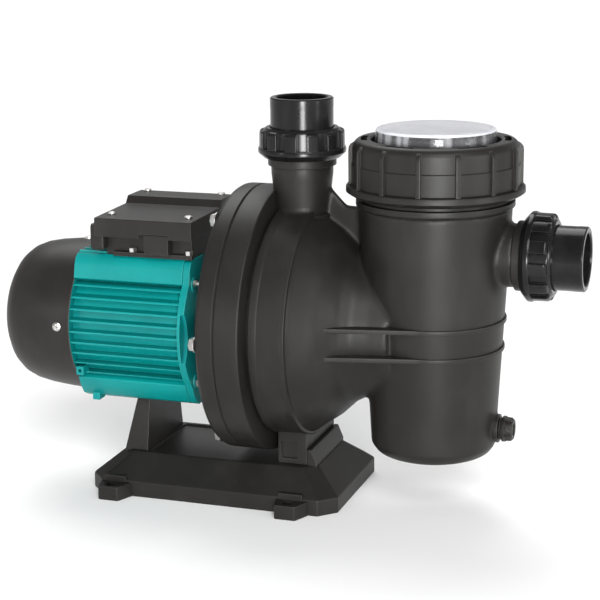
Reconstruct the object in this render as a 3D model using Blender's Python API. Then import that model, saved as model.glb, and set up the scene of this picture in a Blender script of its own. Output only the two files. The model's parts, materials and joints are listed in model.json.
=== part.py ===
"""Self-priming pool pump: clear-lidded strainer pot, volute, motor with fan cover and a moulded base.

The design frame has X along the shaft towards the strainer pot, Z up and the shaft axis at z = 0,
with x = 0 on the discharge port's axis. One empty moves the whole pump, so that the origin is at the
bottom centre of its bounding box. Lengths are in metres.
"""
import math

import bmesh
import bpy
from mathutils import Matrix, Vector

GAP = 0.0003
UNDER = 0.001

# Overall places along the shaft, and heights above it
FLOOR_Z = -0.167
FAN_COVER_END = -0.318
CASING_RISE = 0.008
POT_X = 0.134

# Casing: seal plate, flange, volute and inlet neck, all turned about the casing axis
PLATE_LEFT = -0.065
PARTING = -0.046
FLANGE_RIGHT = -0.021
FLANGE_R = 0.133
VOLUTE_R = 0.115
SHOULDER_X = 0.025
SHOULDER_R = 0.110
NECK_X = 0.058
NECK_R = 0.079
CAVITY_R = 0.105
DIVIDER_LEFT = 0.018
DIVIDER_RIGHT = 0.026
EYE_R = 0.034
BOLT_CIRCLE_R = 0.1245
BOLT_COUNT = 6
BOLT_R = 0.0035
BOLT_HEAD_R = 0.0065
BOLT_HEAD_H = 0.0064
O_RING_R = 0.110
CORD_R = 0.0018
SPIGOT_X = -0.040

# Strainer pot, lid and lock ring, all turned about the pot's axis
POT_BOTTOM = -0.114
POT_BASE_R = 0.061
POT_TOP_R = 0.072
POT_CONE_TOP = 0.113
COLLAR_R = 0.075
COLLAR_TOP = 0.138
THREAD_R = 0.0710
POT_RIM = 0.1810
POT_FLOOR = -0.104
POT_MOUTH_R = 0.0640
LID_R = 0.0700
WINDOW_R = 0.0575
LID_TOP = 0.205
LID_FLANGE = 0.1845
LID_FLANGE_TOP = 0.1885
LID_WALL = 0.004
RING_TOP = 0.196
RING_BOTTOM = 0.142
RING_R = 0.080
RING_RIB_R = 0.0832
RING_FLANGE_R = 0.0855
RING_LIP_R = 0.0620
RIB_COUNT = 14

# Strainer basket
BASKET_TOP = 0.056
BASKET_TOP_R = 0.0570
BASKET_BOTTOM_R = 0.0500
BASKET_WALL = 0.002
BASKET_SLOTS = 12
HANDLE_TOP = 0.150

# Union (nut and tail), measured along its axis from the nut's inner end
SUCTION_Z = 0.087
SUCTION_NUT_X = 0.2225
DISCHARGE_NUT_Z = 0.173
NUT_LENGTH = 0.0295
NUT_LOBES = 12
PORT_R = 0.031
PORT_COLLAR_R = 0.0335
PORT_THREAD_R = 0.033
PORT_END = 0.013
PORT_BORE_R = 0.022
TAIL_START = 0.0155
TAIL_FLANGE_R = 0.0338
TAIL_FLANGE_END = 0.0215
TAIL_END = 0.0585
TAIL_R = 0.031
SOCKET_R = 0.0251
SOCKET_DEPTH = 0.030
UNION_SEAL_R = 0.0275
UNION_CORD_R = 0.00095

# Drain plug
DRAIN_Z = -0.086
DRAIN_FACE_X = 0.2005
DRAIN_BORE_R = 0.0075
DRAIN_HEAD_R = 0.0125

# Motor, turned about the shaft
HOUSING_LEFT = -0.2217
HOUSING_RIGHT = -0.105
HOUSING_R = 0.077
HOUSING_ROOT_R = 0.068
HOUSING_BORE_R = 0.062
SHIELD_RIGHT = -0.092
SHIELD_R = 0.084
REAR_SHIELD_LEFT = -0.2395
REAR_SHIELD_R = 0.0770
FAN_COVER_RIM = -0.222
FAN_COVER_R = 0.0815
FAN_COVER_WALL = 0.0022
TOP_FLAT_Z = 0.0745
BOTTOM_FLAT_Z = -0.0760
FIN_PITCH = 0.0113
FIN_HALF_COUNT = 4
FIN_THICKNESS = 0.0024
TIE_ROD_R = 0.0024
TIE_ROD_CIRCLE_R = 0.0720
COVER_SCREW_X = -0.2345
COVER_SCREW_TILT = math.radians(-11)
SHAFT_R = 0.007
BEARING_SEAT_R = 0.0085
BEARING_R = 0.0175
BEARING_SPLIT_R = 0.0130
FRONT_BEARING = (-0.1078, -0.0958)
REAR_BEARING = (-0.2307, -0.2187)
CORE_SPAN = (-0.205, -0.125)

# Terminal box on top of the motor
BOX_X = (-0.190, -0.098)
BOX_HALF_Y = 0.050
BOX_TOP = 0.0985
COVER_X = (-0.195, -0.092)
COVER_Y = (-0.066, 0.053)
SKIRT_Z = 0.0915
COVER_FRONT_Z = 0.111
COVER_REAR_Z = 0.118
CEILING_Z = 0.1011
GLAND_X = -0.150
GLAND_Z = 0.0830
GLAND_R = 0.0075

# Base
BASE_X = (-0.206, 0.055)
BASE_HALF_Y = 0.080
BASE_SIDE_H = 0.016
DECK_Z = -0.128
DECK_X = (-0.178, 0.028)
DECK_HALF_Y = 0.052
CORNER_CUT = 0.016
LUG_SPANS = ((-0.187, -0.162), (0.000, 0.022))
LUG_REACH = 0.098
PEDESTAL_RIGHT = -0.153
FOOT_X = (-0.013, 0.017)
FOOT_HALF_Y = 0.045

BLACK = ("black_plastic", (0.022, 0.022, 0.023, 1.0), 0.42, 0.0)
GLOSS_BLACK = ("union_plastic", (0.014, 0.014, 0.015, 1.0), 0.28, 0.0)
COVER_GREY = ("cover_plastic", (0.045, 0.044, 0.043, 1.0), 0.50, 0.0)
TEAL = ("motor_paint", (0.0, 0.35, 0.33, 1.0), 0.38, 0.0)
CLEAR = ("clear_lid", (0.78, 0.79, 0.83, 1.0), 0.10, 0.0)
RUBBER = ("rubber", (0.015, 0.015, 0.015, 1.0), 0.80, 0.0)
ZINC = ("zinc_steel", (0.75, 0.74, 0.72, 1.0), 0.32, 1.0)
STEEL = ("shaft_steel", (0.60, 0.60, 0.60, 1.0), 0.25, 1.0)
BRASS = ("brass", (0.72, 0.52, 0.22, 1.0), 0.30, 1.0)
CERAMIC = ("ceramic", (0.85, 0.84, 0.80, 1.0), 0.25, 0.0)
CORE = ("core_steel", (0.28, 0.28, 0.29, 1.0), 0.55, 1.0)
BASKET = ("basket_plastic", (0.80, 0.80, 0.78, 1.0), 0.45, 0.0)
IMPELLER = ("impeller_plastic", (0.10, 0.10, 0.11, 1.0), 0.45, 0.0)


def clear_scene():
    """Remove every object of the starting scene."""
    for item in list(bpy.data.objects):
        bpy.data.objects.remove(item, do_unlink=True)


def make_frame():
    """Return the empty that carries the pump to its origin."""
    frame = bpy.data.objects.new("pump_frame", None)
    bpy.context.scene.collection.objects.link(frame)
    suction_end = SUCTION_NUT_X + TAIL_END
    frame.location = (-(FAN_COVER_END + suction_end) / 2, 0.0, -FLOOR_Z)
    return frame


clear_scene()
FRAME = make_frame()


def material_for(finish):
    """Return the Principled material of a finish, made once."""
    name, colour, roughness, metallic = finish
    material = bpy.data.materials.get(name)
    if material is None:
        material = bpy.data.materials.new(name)
        material.use_nodes = True
        shader = material.node_tree.nodes["Principled BSDF"]
        shader.inputs["Base Color"].default_value = colour
        shader.inputs["Roughness"].default_value = roughness
        shader.inputs["Metallic"].default_value = metallic
    return material


def add(name, bm, finish=None, origin=(0, 0, 0)):
    """Turn a bmesh in design coordinates into an object whose origin is at the point given."""
    bmesh.ops.remove_doubles(bm, verts=bm.verts, dist=1e-6)
    bmesh.ops.recalc_face_normals(bm, faces=bm.faces)
    bmesh.ops.translate(bm, verts=bm.verts, vec=-Vector(origin))
    mesh = bpy.data.meshes.new(name)
    bm.to_mesh(mesh)
    bm.free()
    item = bpy.data.objects.new(name, mesh)
    bpy.context.scene.collection.objects.link(item)
    item.parent = FRAME
    item.location = origin
    if finish is None:
        item.hide_render = True
        item.display_type = "WIRE"
    else:
        mesh.materials.append(material_for(finish))
        mesh.shade_smooth()
        mesh.set_sharp_from_angle(angle=math.radians(35))
    return item


def place(axis, along, across, up):
    """Return the design-frame vector of a point given along an axis and across it."""
    if axis == "X":
        return Vector((along, across, up))
    if axis == "Y":
        return Vector((across, along, up))
    return Vector((across, up, along))


def turned(profile, axis="X", centre=(0.0, 0.0), steps=48, closed=False):
    """Spin a profile of (along, radius) points about an axis through centre (across, up)."""
    bm = bmesh.new()
    middle = place(axis, 0.0, *centre)
    spin_axis = place(axis, 1.0, 0.0, 0.0)
    verts = [bm.verts.new(middle + place(axis, along, radius, 0.0)) for along, radius in profile]
    pairs = list(zip(verts, verts[1:] + verts[:1])) if closed else list(zip(verts, verts[1:]))
    edges = [bm.edges.new(pair) for pair in pairs]
    bmesh.ops.spin(bm, geom=verts + edges, cent=middle, axis=spin_axis, angle=2 * math.pi,
                   steps=steps, use_merge=True)
    return bm


def ring_cord(along, radius, cord, axis="X", centre=(0.0, 0.0), steps=32, sides=8):
    """Return an O-ring."""
    angles = [2 * math.pi * (side + 0.5) / sides for side in range(sides)]
    profile = [(along + cord * math.sin(a), radius + cord * math.cos(a)) for a in angles]
    return turned(profile, axis, centre, steps, closed=True)


def tube(start, end, outer, inner, axis="X", centre=(0.0, 0.0), steps=32):
    """Return a plain ring with square ends."""
    profile = [(start, inner), (start, outer), (end, outer), (end, inner)]
    return turned(profile, axis, centre, steps, closed=True)


def rod(start, end, radius, axis="X", centre=(0.0, 0.0), steps=20):
    """Return a solid cylinder."""
    return turned([(start, 0.0), (start, radius), (end, radius), (end, 0.0)], axis, centre, steps)


def prism(outline, start, end, axis="X"):
    """Extrude an outline of (across, up) points along an axis."""
    bm = bmesh.new()
    face = bm.faces.new([bm.verts.new(place(axis, start, *point)) for point in outline])
    extruded = bmesh.ops.extrude_face_region(bm, geom=[face])
    top = [part for part in extruded["geom"] if isinstance(part, bmesh.types.BMVert)]
    bmesh.ops.translate(bm, verts=top, vec=place(axis, end - start, 0.0, 0.0))
    return bm


def block(low, high):
    """Return a box between two corners."""
    bm = bmesh.new()
    size = Vector(high) - Vector(low)
    middle = (Vector(high) + Vector(low)) / 2
    matrix = Matrix.Translation(middle) @ Matrix.Diagonal((*size, 1.0))
    bmesh.ops.create_cube(bm, size=1.0, matrix=matrix)
    return bm


def together(*parts):
    """Put several bmeshes, which stay separate bodies, into one."""
    whole = bmesh.new()
    for part in parts:
        mesh = bpy.data.meshes.new("joined")
        part.to_mesh(mesh)
        part.free()
        whole.from_mesh(mesh)
        bpy.data.meshes.remove(mesh)
    return whole


def rotated(bm, angle, axis="X", centre=(0.0, 0.0)):
    """Turn a bmesh about an axis through centre (across, up)."""
    bmesh.ops.rotate(bm, verts=bm.verts, cent=place(axis, 0.0, *centre),
                     matrix=Matrix.Rotation(angle, 3, axis))
    return bm


def combine(item, operation, bm):
    """Join a bmesh to an object, or cut it away, with a Boolean modifier."""
    tool = add(f"{item.name}_tool", bm)
    step = item.modifiers.new(operation.lower(), "BOOLEAN")
    step.operation = operation
    step.solver = "EXACT"
    step.object = tool


def join(item, bm):
    """Join a bmesh to an object."""
    combine(item, "UNION", bm)


def cut(item, bm):
    """Cut a bmesh out of an object."""
    combine(item, "DIFFERENCE", bm)


def lobed(stations, lobes, half_width, axis, centre):
    """Return a ring whose closed profile has (along, base radius, lobe radius) stations."""
    bm = bmesh.new()
    middle = place(axis, 0.0, *centre)
    slope = 0.25 * half_width
    offsets = ((-half_width - slope, 0), (-half_width, 1), (half_width, 1), (half_width + slope, 0))
    rings = []
    for along, base, lobe in stations:
        ring = []
        for index in range(lobes):
            for offset, raised in offsets:
                angle = 2 * math.pi * index / lobes + offset
                radius = lobe if raised else base
                point = place(axis, along, radius * math.cos(angle), radius * math.sin(angle))
                ring.append(bm.verts.new(middle + point))
        rings.append(ring)
    for first, second in zip(rings, rings[1:] + rings[:1]):
        for index in range(len(first)):
            after = (index + 1) % len(first)
            bm.faces.new((first[index], first[after], second[after], second[index]))
    return bm


def radial(bm_of, count, axis, centre, start=0.0):
    """Return copies of a piece placed evenly about an axis, each made by bm_of()."""
    return together(*(rotated(bm_of(), start + 2 * math.pi * index / count, axis, centre)
                      for index in range(count)))


CASING = (0.0, CASING_RISE)
POT = (POT_X, 0.0)
SUCTION = (0.0, SUCTION_Z)


def bolt_places():
    """Yield the casing bolts' centres (across, up)."""
    for index in range(BOLT_COUNT):
        angle = 2 * math.pi * index / BOLT_COUNT
        yield (-BOLT_CIRCLE_R * math.cos(angle), CASING_RISE + BOLT_CIRCLE_R * math.sin(angle))


def tie_rod_places():
    """Yield the tie rods' centres (across, up)."""
    reach = TIE_ROD_CIRCLE_R / math.sqrt(2)
    for across in (-reach, reach):
        for up in (-reach, reach):
            yield (across, up)


def pump_body():
    """Model the pot, inlet neck, volute, flange and ports as one moulding."""
    casing = [(PARTING + GAP, 0.0), (PARTING + GAP, FLANGE_R - 0.0015), (PARTING + 0.0018, FLANGE_R),
              (FLANGE_RIGHT - 0.002, FLANGE_R), (FLANGE_RIGHT, FLANGE_R - 0.002),
              (FLANGE_RIGHT, VOLUTE_R + 0.003), (FLANGE_RIGHT + 0.003, VOLUTE_R),
              (SHOULDER_X - 0.012, VOLUTE_R - 0.001), (SHOULDER_X - 0.003, SHOULDER_R + 0.002),
              (SHOULDER_X + 0.003, SHOULDER_R - 0.004), (SHOULDER_X + 0.018, NECK_R + 0.013),
              (NECK_X, NECK_R), (NECK_X + 0.012, 0.0720), (NECK_X + 0.028, 0.0690),
              (POT_X - 0.030, 0.0660), (POT_X - 0.030, 0.0)]
    body = add("pump_body", turned(casing, "X", CASING, 38), BLACK)
    pot = [(POT_BOTTOM, 0.0), (POT_BOTTOM, POT_BASE_R - 0.014), (POT_BOTTOM + 0.003, POT_BASE_R - 0.006),
           (POT_BOTTOM + 0.010, POT_BASE_R), (POT_CONE_TOP, POT_TOP_R - 0.002),
           (POT_CONE_TOP + 0.006, COLLAR_R), (COLLAR_TOP, COLLAR_R), (COLLAR_TOP, THREAD_R),
           (POT_RIM, THREAD_R), (POT_RIM, 0.0)]
    join(body, turned(pot, "Z", POT, 32))
    neck = [(0.060, 0.0), (0.060, 0.0250), (0.121, 0.0262), (0.158, PORT_R), (0.166, PORT_R),
            (0.167, PORT_COLLAR_R), (DISCHARGE_NUT_Z - GAP, PORT_COLLAR_R),
            (DISCHARGE_NUT_Z - GAP, PORT_THREAD_R), (DISCHARGE_NUT_Z + PORT_END, PORT_THREAD_R),
            (DISCHARGE_NUT_Z + PORT_END, 0.0)]
    join(body, turned(neck, "Z", (0.0, 0.0), 22))
    port = [(POT_X + 0.045, 0.0), (POT_X + 0.045, PORT_R), (SUCTION_NUT_X - 0.010, PORT_R),
            (SUCTION_NUT_X - 0.009, PORT_COLLAR_R), (SUCTION_NUT_X - GAP, PORT_COLLAR_R),
            (SUCTION_NUT_X - GAP, PORT_THREAD_R), (SUCTION_NUT_X + PORT_END, PORT_THREAD_R),
            (SUCTION_NUT_X + PORT_END, 0.0)]
    join(body, turned(port, "X", SUCTION, 22))
    join(body, rod(POT_X + 0.045, DRAIN_FACE_X, 0.0135, "X", (0.0, DRAIN_Z), 16))
    web = [(0.010, 0.100), (0.022, 0.150), (0.030, 0.142), (0.045, 0.127), (0.080, 0.125), (0.080, 0.050),
           (0.010, 0.050)]
    join(body, prism(web, -0.003, 0.003, "Y"))
    for height in (0.022, -0.006):
        join(body, block_band(height))
    join(body, block((FOOT_X[0], -FOOT_HALF_Y, DECK_Z + GAP), (FOOT_X[1], FOOT_HALF_Y, -0.0930)))
    carve_body(body)
    return body


def block_band(height):
    """Return one flat stiffening band from the volute round the pot."""
    reach = POT_TOP_R + 0.0005
    arc = [(POT_X + reach * math.cos(a), reach * math.sin(a))
           for a in (math.pi / 2 - math.pi * step / 14 for step in range(15))]
    outline = [(0.030, 0.088)] + arc + [(0.030, -0.088)]
    return prism(outline, height - 0.0022, height + 0.0022, "Z")


def carve_body(body):
    """Cut the water ways and the bolt holes of the pump body."""
    cavity = [(PARTING - 0.010, 0.0), (PARTING - 0.010, CAVITY_R), (0.008, CAVITY_R - 0.001),
              (DIVIDER_LEFT, CAVITY_R - 0.008), (DIVIDER_LEFT, 0.0)]
    cut(body, turned(cavity, "X", CASING, 30))
    inlet = [(DIVIDER_RIGHT, 0.0), (DIVIDER_RIGHT, 0.096), (0.044, 0.0830), (NECK_X, 0.0700),
             (0.075, 0.0590), (0.108, 0.0560), (0.108, 0.0)]
    cut(body, turned(inlet, "X", CASING, 22))
    cut(body, rod(DIVIDER_LEFT - 0.005, DIVIDER_RIGHT + 0.005, EYE_R, "X", (0.0, 0.0), 20))
    pot = [(POT_FLOOR, 0.0), (POT_FLOOR, 0.0520), (0.110, POT_MOUTH_R), (POT_RIM + 0.010, POT_MOUTH_R),
           (POT_RIM + 0.010, 0.0)]
    cut(body, turned(pot, "Z", POT, 26))
    cut(body, rod(0.075, DISCHARGE_NUT_Z + PORT_END + 0.010, PORT_BORE_R - 0.0015, "Z", (0.0, 0.0), 16))
    cut(body, rod(POT_X + 0.040, SUCTION_NUT_X + PORT_END + 0.010, PORT_BORE_R, "X", SUCTION, 16))
    cut(body, rod(POT_X + 0.040, DRAIN_FACE_X + 0.010, DRAIN_BORE_R, "X", (0.0, DRAIN_Z), 14))
    holes = [rod(PARTING - 0.005, FLANGE_RIGHT - 0.003, BOLT_R + 0.0007, "X", middle, 6)
             for middle in bolt_places()]
    cut(body, together(*holes))


def lid_group():
    """Model the clear lid, its O-ring and the lock ring."""
    lid = [(LID_TOP, 0.0), (LID_TOP - 0.0006, WINDOW_R - 0.004), (LID_TOP - 0.003, WINDOW_R),
           (LID_FLANGE_TOP, WINDOW_R), (LID_FLANGE_TOP, LID_R), (LID_FLANGE, LID_R),
           (LID_FLANGE, WINDOW_R - LID_WALL), (LID_TOP - LID_WALL, WINDOW_R - LID_WALL),
           (LID_TOP - LID_WALL, 0.0)]
    add("lid", turned(lid, "Z", POT, 26), CLEAR, (POT_X, 0.0, LID_FLANGE))
    cord_z = (POT_RIM + LID_FLANGE) / 2
    add("lid_o_ring", ring_cord(cord_z, 0.0675, 0.0014, "Z", POT, 22, 5), RUBBER, (POT_X, 0.0, cord_z))
    inner = THREAD_R + 0.0015
    stations = [(RING_TOP, RING_LIP_R, RING_LIP_R), (RING_TOP, 0.0770, 0.0770),
                (RING_TOP - 0.004, RING_R, RING_RIB_R), (RING_BOTTOM + 0.010, RING_R, RING_RIB_R),
                (RING_BOTTOM + 0.009, RING_FLANGE_R, RING_FLANGE_R),
                (RING_BOTTOM + 0.004, RING_FLANGE_R, RING_FLANGE_R), (RING_BOTTOM, 0.0780, 0.0780),
                (RING_BOTTOM, inner, inner), (LID_FLANGE_TOP + GAP, inner, inner),
                (LID_FLANGE_TOP + GAP, RING_LIP_R, RING_LIP_R)]
    ring = lobed(stations, RIB_COUNT, math.radians(2.6), "Z", POT)
    add("lid_lock_ring", ring, BLACK, (POT_X, 0.0, RING_BOTTOM))


def basket():
    """Model the strainer basket with its slots and lifting handle."""
    bottom = POT_FLOOR + GAP
    shell = [(bottom, 0.0), (bottom, BASKET_BOTTOM_R), (BASKET_TOP - 0.003, BASKET_TOP_R),
             (BASKET_TOP - 0.003, BASKET_TOP_R + 0.0020), (BASKET_TOP, BASKET_TOP_R + 0.0020),
             (BASKET_TOP, BASKET_TOP_R - BASKET_WALL), (bottom + BASKET_WALL, BASKET_BOTTOM_R - BASKET_WALL),
             (bottom + BASKET_WALL, 0.0)]
    item = add("strainer_basket", turned(shell, "Z", POT, 24), BASKET, (POT_X, 0.0, bottom))
    centre_z = HANDLE_TOP - BASKET_TOP_R
    arch = [math.pi * step / 16 for step in range(17)]
    outer = BASKET_TOP_R
    inner = BASKET_TOP_R - 0.005
    outline = ([(outer * math.cos(a), centre_z + outer * math.sin(a)) for a in arch]
               + [(-outer, BASKET_TOP - UNDER), (-inner, BASKET_TOP - UNDER)]
               + [(inner * math.cos(a), centre_z + inner * math.sin(a)) for a in reversed(arch)]
               + [(inner, BASKET_TOP - UNDER), (outer, BASKET_TOP - UNDER)])
    join(item, prism(outline, POT_X - 0.004, POT_X + 0.004, "X"))
    slot = lambda: block((POT_X + 0.040, -0.003, bottom + 0.012), (POT_X + 0.075, 0.003, BASKET_TOP - 0.012))
    cut(item, radial(slot, BASKET_SLOTS, "Z", POT, math.pi / BASKET_SLOTS))


def union(prefix, axis, centre, start):
    """Model a union: castellated nut, solvent-socket tail and the O-ring between them."""
    nut = [(start, 0.0365, 0.0365), (start + 0.006, 0.0432, 0.0432), (start + 0.010, 0.0432, 0.0432),
           (start + 0.0105, 0.0385, 0.0418), (start + 0.0270, 0.0385, 0.0412),
           (start + NUT_LENGTH, 0.0355, 0.0355), (start + NUT_LENGTH, TAIL_R + 0.0006, TAIL_R + 0.0006),
           (start + TAIL_FLANGE_END + GAP, TAIL_R + 0.0006, TAIL_R + 0.0006),
           (start + TAIL_FLANGE_END + GAP, PORT_THREAD_R + 0.0015, PORT_THREAD_R + 0.0015),
           (start, PORT_THREAD_R + 0.0015, PORT_THREAD_R + 0.0015)]
    origin = place(axis, start, *centre)
    add(f"{prefix}_union_nut", lobed(nut, NUT_LOBES, math.radians(7), axis, centre), GLOSS_BLACK, origin)
    tail = [(start + TAIL_START, PORT_BORE_R), (start + TAIL_START, TAIL_FLANGE_R),
            (start + TAIL_FLANGE_END, TAIL_FLANGE_R), (start + TAIL_FLANGE_END, TAIL_R),
            (start + TAIL_END, TAIL_R), (start + TAIL_END, SOCKET_R),
            (start + TAIL_END - SOCKET_DEPTH, SOCKET_R), (start + TAIL_END - SOCKET_DEPTH, PORT_BORE_R)]
    add(f"{prefix}_union_tail", turned(tail, axis, centre, 20, True), GLOSS_BLACK, origin)
    cord = start + (PORT_END + TAIL_START) / 2
    add(f"{prefix}_union_o_ring", ring_cord(cord, UNION_SEAL_R, UNION_CORD_R, axis, centre, 16, 5),
        RUBBER, origin)


def drain():
    """Model the drain plug and its washer ring."""
    centre = (0.0, DRAIN_Z)
    cord_x = DRAIN_FACE_X + 0.0014
    add("drain_plug_o_ring", ring_cord(cord_x, 0.0098, 0.0011, "X", centre, 14, 5), RUBBER,
        (cord_x, 0.0, DRAIN_Z))
    head = DRAIN_FACE_X + 0.0028
    profile = [(DRAIN_FACE_X - 0.0125, 0.0), (DRAIN_FACE_X - 0.0125, DRAIN_BORE_R - 0.0007),
               (head, DRAIN_BORE_R - 0.0007), (head, DRAIN_HEAD_R), (head + 0.004, DRAIN_HEAD_R),
               (head + 0.004, 0.0105), (head + 0.011, 0.0100), (head + 0.011, 0.0065),
               (head + 0.004, 0.0065), (head + 0.004, 0.0)]
    add("drain_plug", turned(profile, "X", centre, 16), BLACK, (head, 0.0, DRAIN_Z))


def seal_plate():
    """Model the seal plate with the hub that carries the motor, its bolts and O-ring."""
    disc = [(PLATE_LEFT, 0.0), (PLATE_LEFT, FLANGE_R - 0.004), (PLATE_LEFT + 0.003, FLANGE_R - 0.0005),
            (PLATE_LEFT + 0.005, FLANGE_R), (PARTING - 0.0015, FLANGE_R), (PARTING, FLANGE_R - 0.0015),
            (PARTING, CAVITY_R - 0.0018), (SPIGOT_X, CAVITY_R - 0.0024), (SPIGOT_X, 0.0)]
    plate = add("seal_plate", turned(disc, "X", CASING, 38), BLACK)
    hub = [(SHIELD_RIGHT + GAP, 0.0), (SHIELD_RIGHT + GAP, 0.0660), (PLATE_LEFT + 0.005, 0.0675),
           (PLATE_LEFT + 0.005, 0.0)]
    join(plate, turned(hub, "X", (0.0, 0.0), 20))
    hollow = [(SHIELD_RIGHT - 0.005, 0.0), (SHIELD_RIGHT - 0.005, 0.0580), (-0.0555, 0.0560), (-0.0555, 0.0)]
    cut(plate, turned(hollow, "X", (0.0, 0.0), 16))
    cut(plate, tube(PLATE_LEFT - 0.005, -0.0535, 0.1165, 0.0845, "X", CASING, 22))
    cut(plate, rod(-0.060, SPIGOT_X + 0.005, 0.0090, "X", (0.0, 0.0), 20))
    cut(plate, rod(-0.0480, SPIGOT_X + 0.005, 0.0145, "X", (0.0, 0.0), 24))
    cut(plate, tube(PARTING - 0.0045, PARTING + 0.005, O_RING_R + CORD_R + 0.0004,
                    O_RING_R - CORD_R - 0.0004, "X", CASING, 24))
    cut(plate, together(*(rod(PLATE_LEFT - 0.005, PARTING + 0.005, BOLT_R + 0.0007, "X", middle, 6)
                          for middle in bolt_places())))
    cut(plate, together(*(rod(SHIELD_RIGHT - 0.005, PLATE_LEFT + 0.008, TIE_ROD_R + 0.0004, "X", middle, 8)
                          for middle in tie_rod_places())))
    cut(plate, block((-0.088, -0.090, -0.022), (-0.068, 0.090, 0.022)))
    cord_x = PARTING - 0.0023
    add("casing_o_ring", ring_cord(cord_x, O_RING_R, CORD_R, "X", CASING, 24, 5), RUBBER)
    for index, middle in enumerate(bolt_places()):
        head = PLATE_LEFT - GAP
        profile = [(head - BOLT_HEAD_H, 0.0), (head - BOLT_HEAD_H, BOLT_HEAD_R - 0.001),
                   (head - BOLT_HEAD_H + 0.001, BOLT_HEAD_R), (head, BOLT_HEAD_R), (head, BOLT_R),
                   (FLANGE_RIGHT - 0.0045, BOLT_R), (FLANGE_RIGHT - 0.0045, 0.0)]
        add(f"casing_bolt_{index + 1}", turned(profile, "X", middle, 8), ZINC, (head, *middle))


def hydraulics():
    """Model the diffuser, the impeller with its nut and the shaft seal."""
    bowl = [(-0.030, 0.0880), (0.012, 0.0880), (0.0160, 0.0820), (0.0160, EYE_R - 0.0006),
            (0.0255, EYE_R - 0.0006), (0.0255, 0.0280), (0.0060, 0.0280), (0.0060, 0.0760),
            (0.0, 0.0830), (-0.030, 0.0830)]
    add("diffuser", turned(bowl, "X", (0.0, 0.0), 22, True), IMPELLER)
    back = [(-0.026, SHAFT_R + GAP), (-0.026, 0.0700), (-0.0225, 0.0700), (-0.0200, 0.0150),
            (0.0, 0.0130), (0.0, SHAFT_R + GAP)]
    wheel = add("impeller", turned(back, "X", (0.0, 0.0), 20, True), IMPELLER, (-0.026, 0.0, 0.0))
    join(wheel, radial(impeller_vane, 5, "X", (0.0, 0.0)))
    front = [(-0.0105, 0.0700), (-0.0080, 0.0700), (0.0010, 0.0340), (0.0030, 0.0265), (0.0120, 0.0265),
             (0.0120, 0.0240), (-0.0010, 0.0240), (-0.0030, 0.0310)]
    join(wheel, turned(front, "X", (0.0, 0.0), 20, True))
    nut = [(0.0140, 0.0), (0.0140, 0.0060), (0.0100, 0.0110), (GAP, 0.0110), (GAP, SHAFT_R + GAP),
           (0.0070, SHAFT_R + GAP), (0.0070, 0.0)]
    add("impeller_nut", turned(nut, "X", (0.0, 0.0), 16), BRASS, (GAP, 0.0, 0.0))
    add("seal_seat", tube(-0.0477, -0.0403, 0.0142, 0.0090, steps=16), CERAMIC)
    add("seal_head", tube(-0.0400, -0.0345, 0.0120, SHAFT_R + GAP, steps=16), RUBBER, (-0.040, 0, 0))
    add("seal_spring", tube(-0.0342, -0.0263, 0.0105, 0.0085, steps=14), STEEL, (-0.0342, 0, 0))


def impeller_vane():
    """Return one backward-curved vane between the impeller's shrouds."""
    steps = 3
    outer = []
    inner = []
    for step in range(steps + 1):
        radius = 0.0180 + (0.0690 - 0.0180) * step / steps
        angle = math.radians(70) * (step / steps) ** 1.2
        outer.append(((radius) * math.cos(angle), radius * math.sin(angle)))
        inner.append(((radius - 0.0005) * math.cos(angle + 0.0030 / radius),
                      (radius - 0.0005) * math.sin(angle + 0.0030 / radius)))
    bm = prism(outer + inner[::-1], -0.0235, -0.0085, "X")
    return bm


def rotor():
    """Model the shaft, rotor core, bearings and cooling fan."""
    shaft = [(0.0060, 0.0), (0.0060, SHAFT_R), (-0.0940, SHAFT_R), (-0.0940, BEARING_SEAT_R),
             (-0.1090, BEARING_SEAT_R), (-0.1090, 0.0110), (-0.2170, 0.0110), (-0.2170, BEARING_SEAT_R),
             (-0.2330, BEARING_SEAT_R), (-0.2330, SHAFT_R), (-0.2640, SHAFT_R), (-0.2640, 0.0)]
    add("motor_shaft", turned(shaft, "X", (0.0, 0.0), 16), STEEL)
    add("rotor_core", tube(*CORE_SPAN, 0.0345, 0.0113, steps=20), CORE)
    for end, (left, right) in (("front", FRONT_BEARING), ("rear", REAR_BEARING)):
        add(f"{end}_bearing_outer", tube(left, right, BEARING_R, BEARING_SPLIT_R + GAP, steps=18), STEEL)
        add(f"{end}_bearing_inner", tube(left, right, BEARING_SPLIT_R, BEARING_SEAT_R + GAP, steps=18), STEEL)
    fan = add("cooling_fan", turned([(-0.2480, SHAFT_R + GAP), (-0.2480, 0.0620), (-0.2500, 0.0620),
                                     (-0.2520, 0.0150), (-0.2620, 0.0130), (-0.2620, SHAFT_R + GAP)],
                                    "X", (0.0, 0.0), 20, True), IMPELLER, (-0.248, 0, 0))
    blade = lambda: block((-0.2660, -0.0011, 0.0115), (-0.2490, 0.0011, 0.0600))
    join(fan, radial(blade, 8, "X", (0.0, 0.0)))


def stator():
    """Model the wound stator as one solid ring with winding overhangs."""
    left, right = CORE_SPAN
    profile = [(left, 0.0353), (left, 0.0400), (left - 0.011, 0.0420), (left - 0.011, 0.0550),
               (left, 0.0575), (left, HOUSING_BORE_R - GAP), (right, HOUSING_BORE_R - GAP),
               (right, 0.0575), (right + 0.012, 0.0550), (right + 0.012, 0.0420), (right, 0.0400),
               (right, 0.0353)]
    add("wound_stator", turned(profile, "X", (0.0, 0.0), 28, True), CORE)


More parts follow.
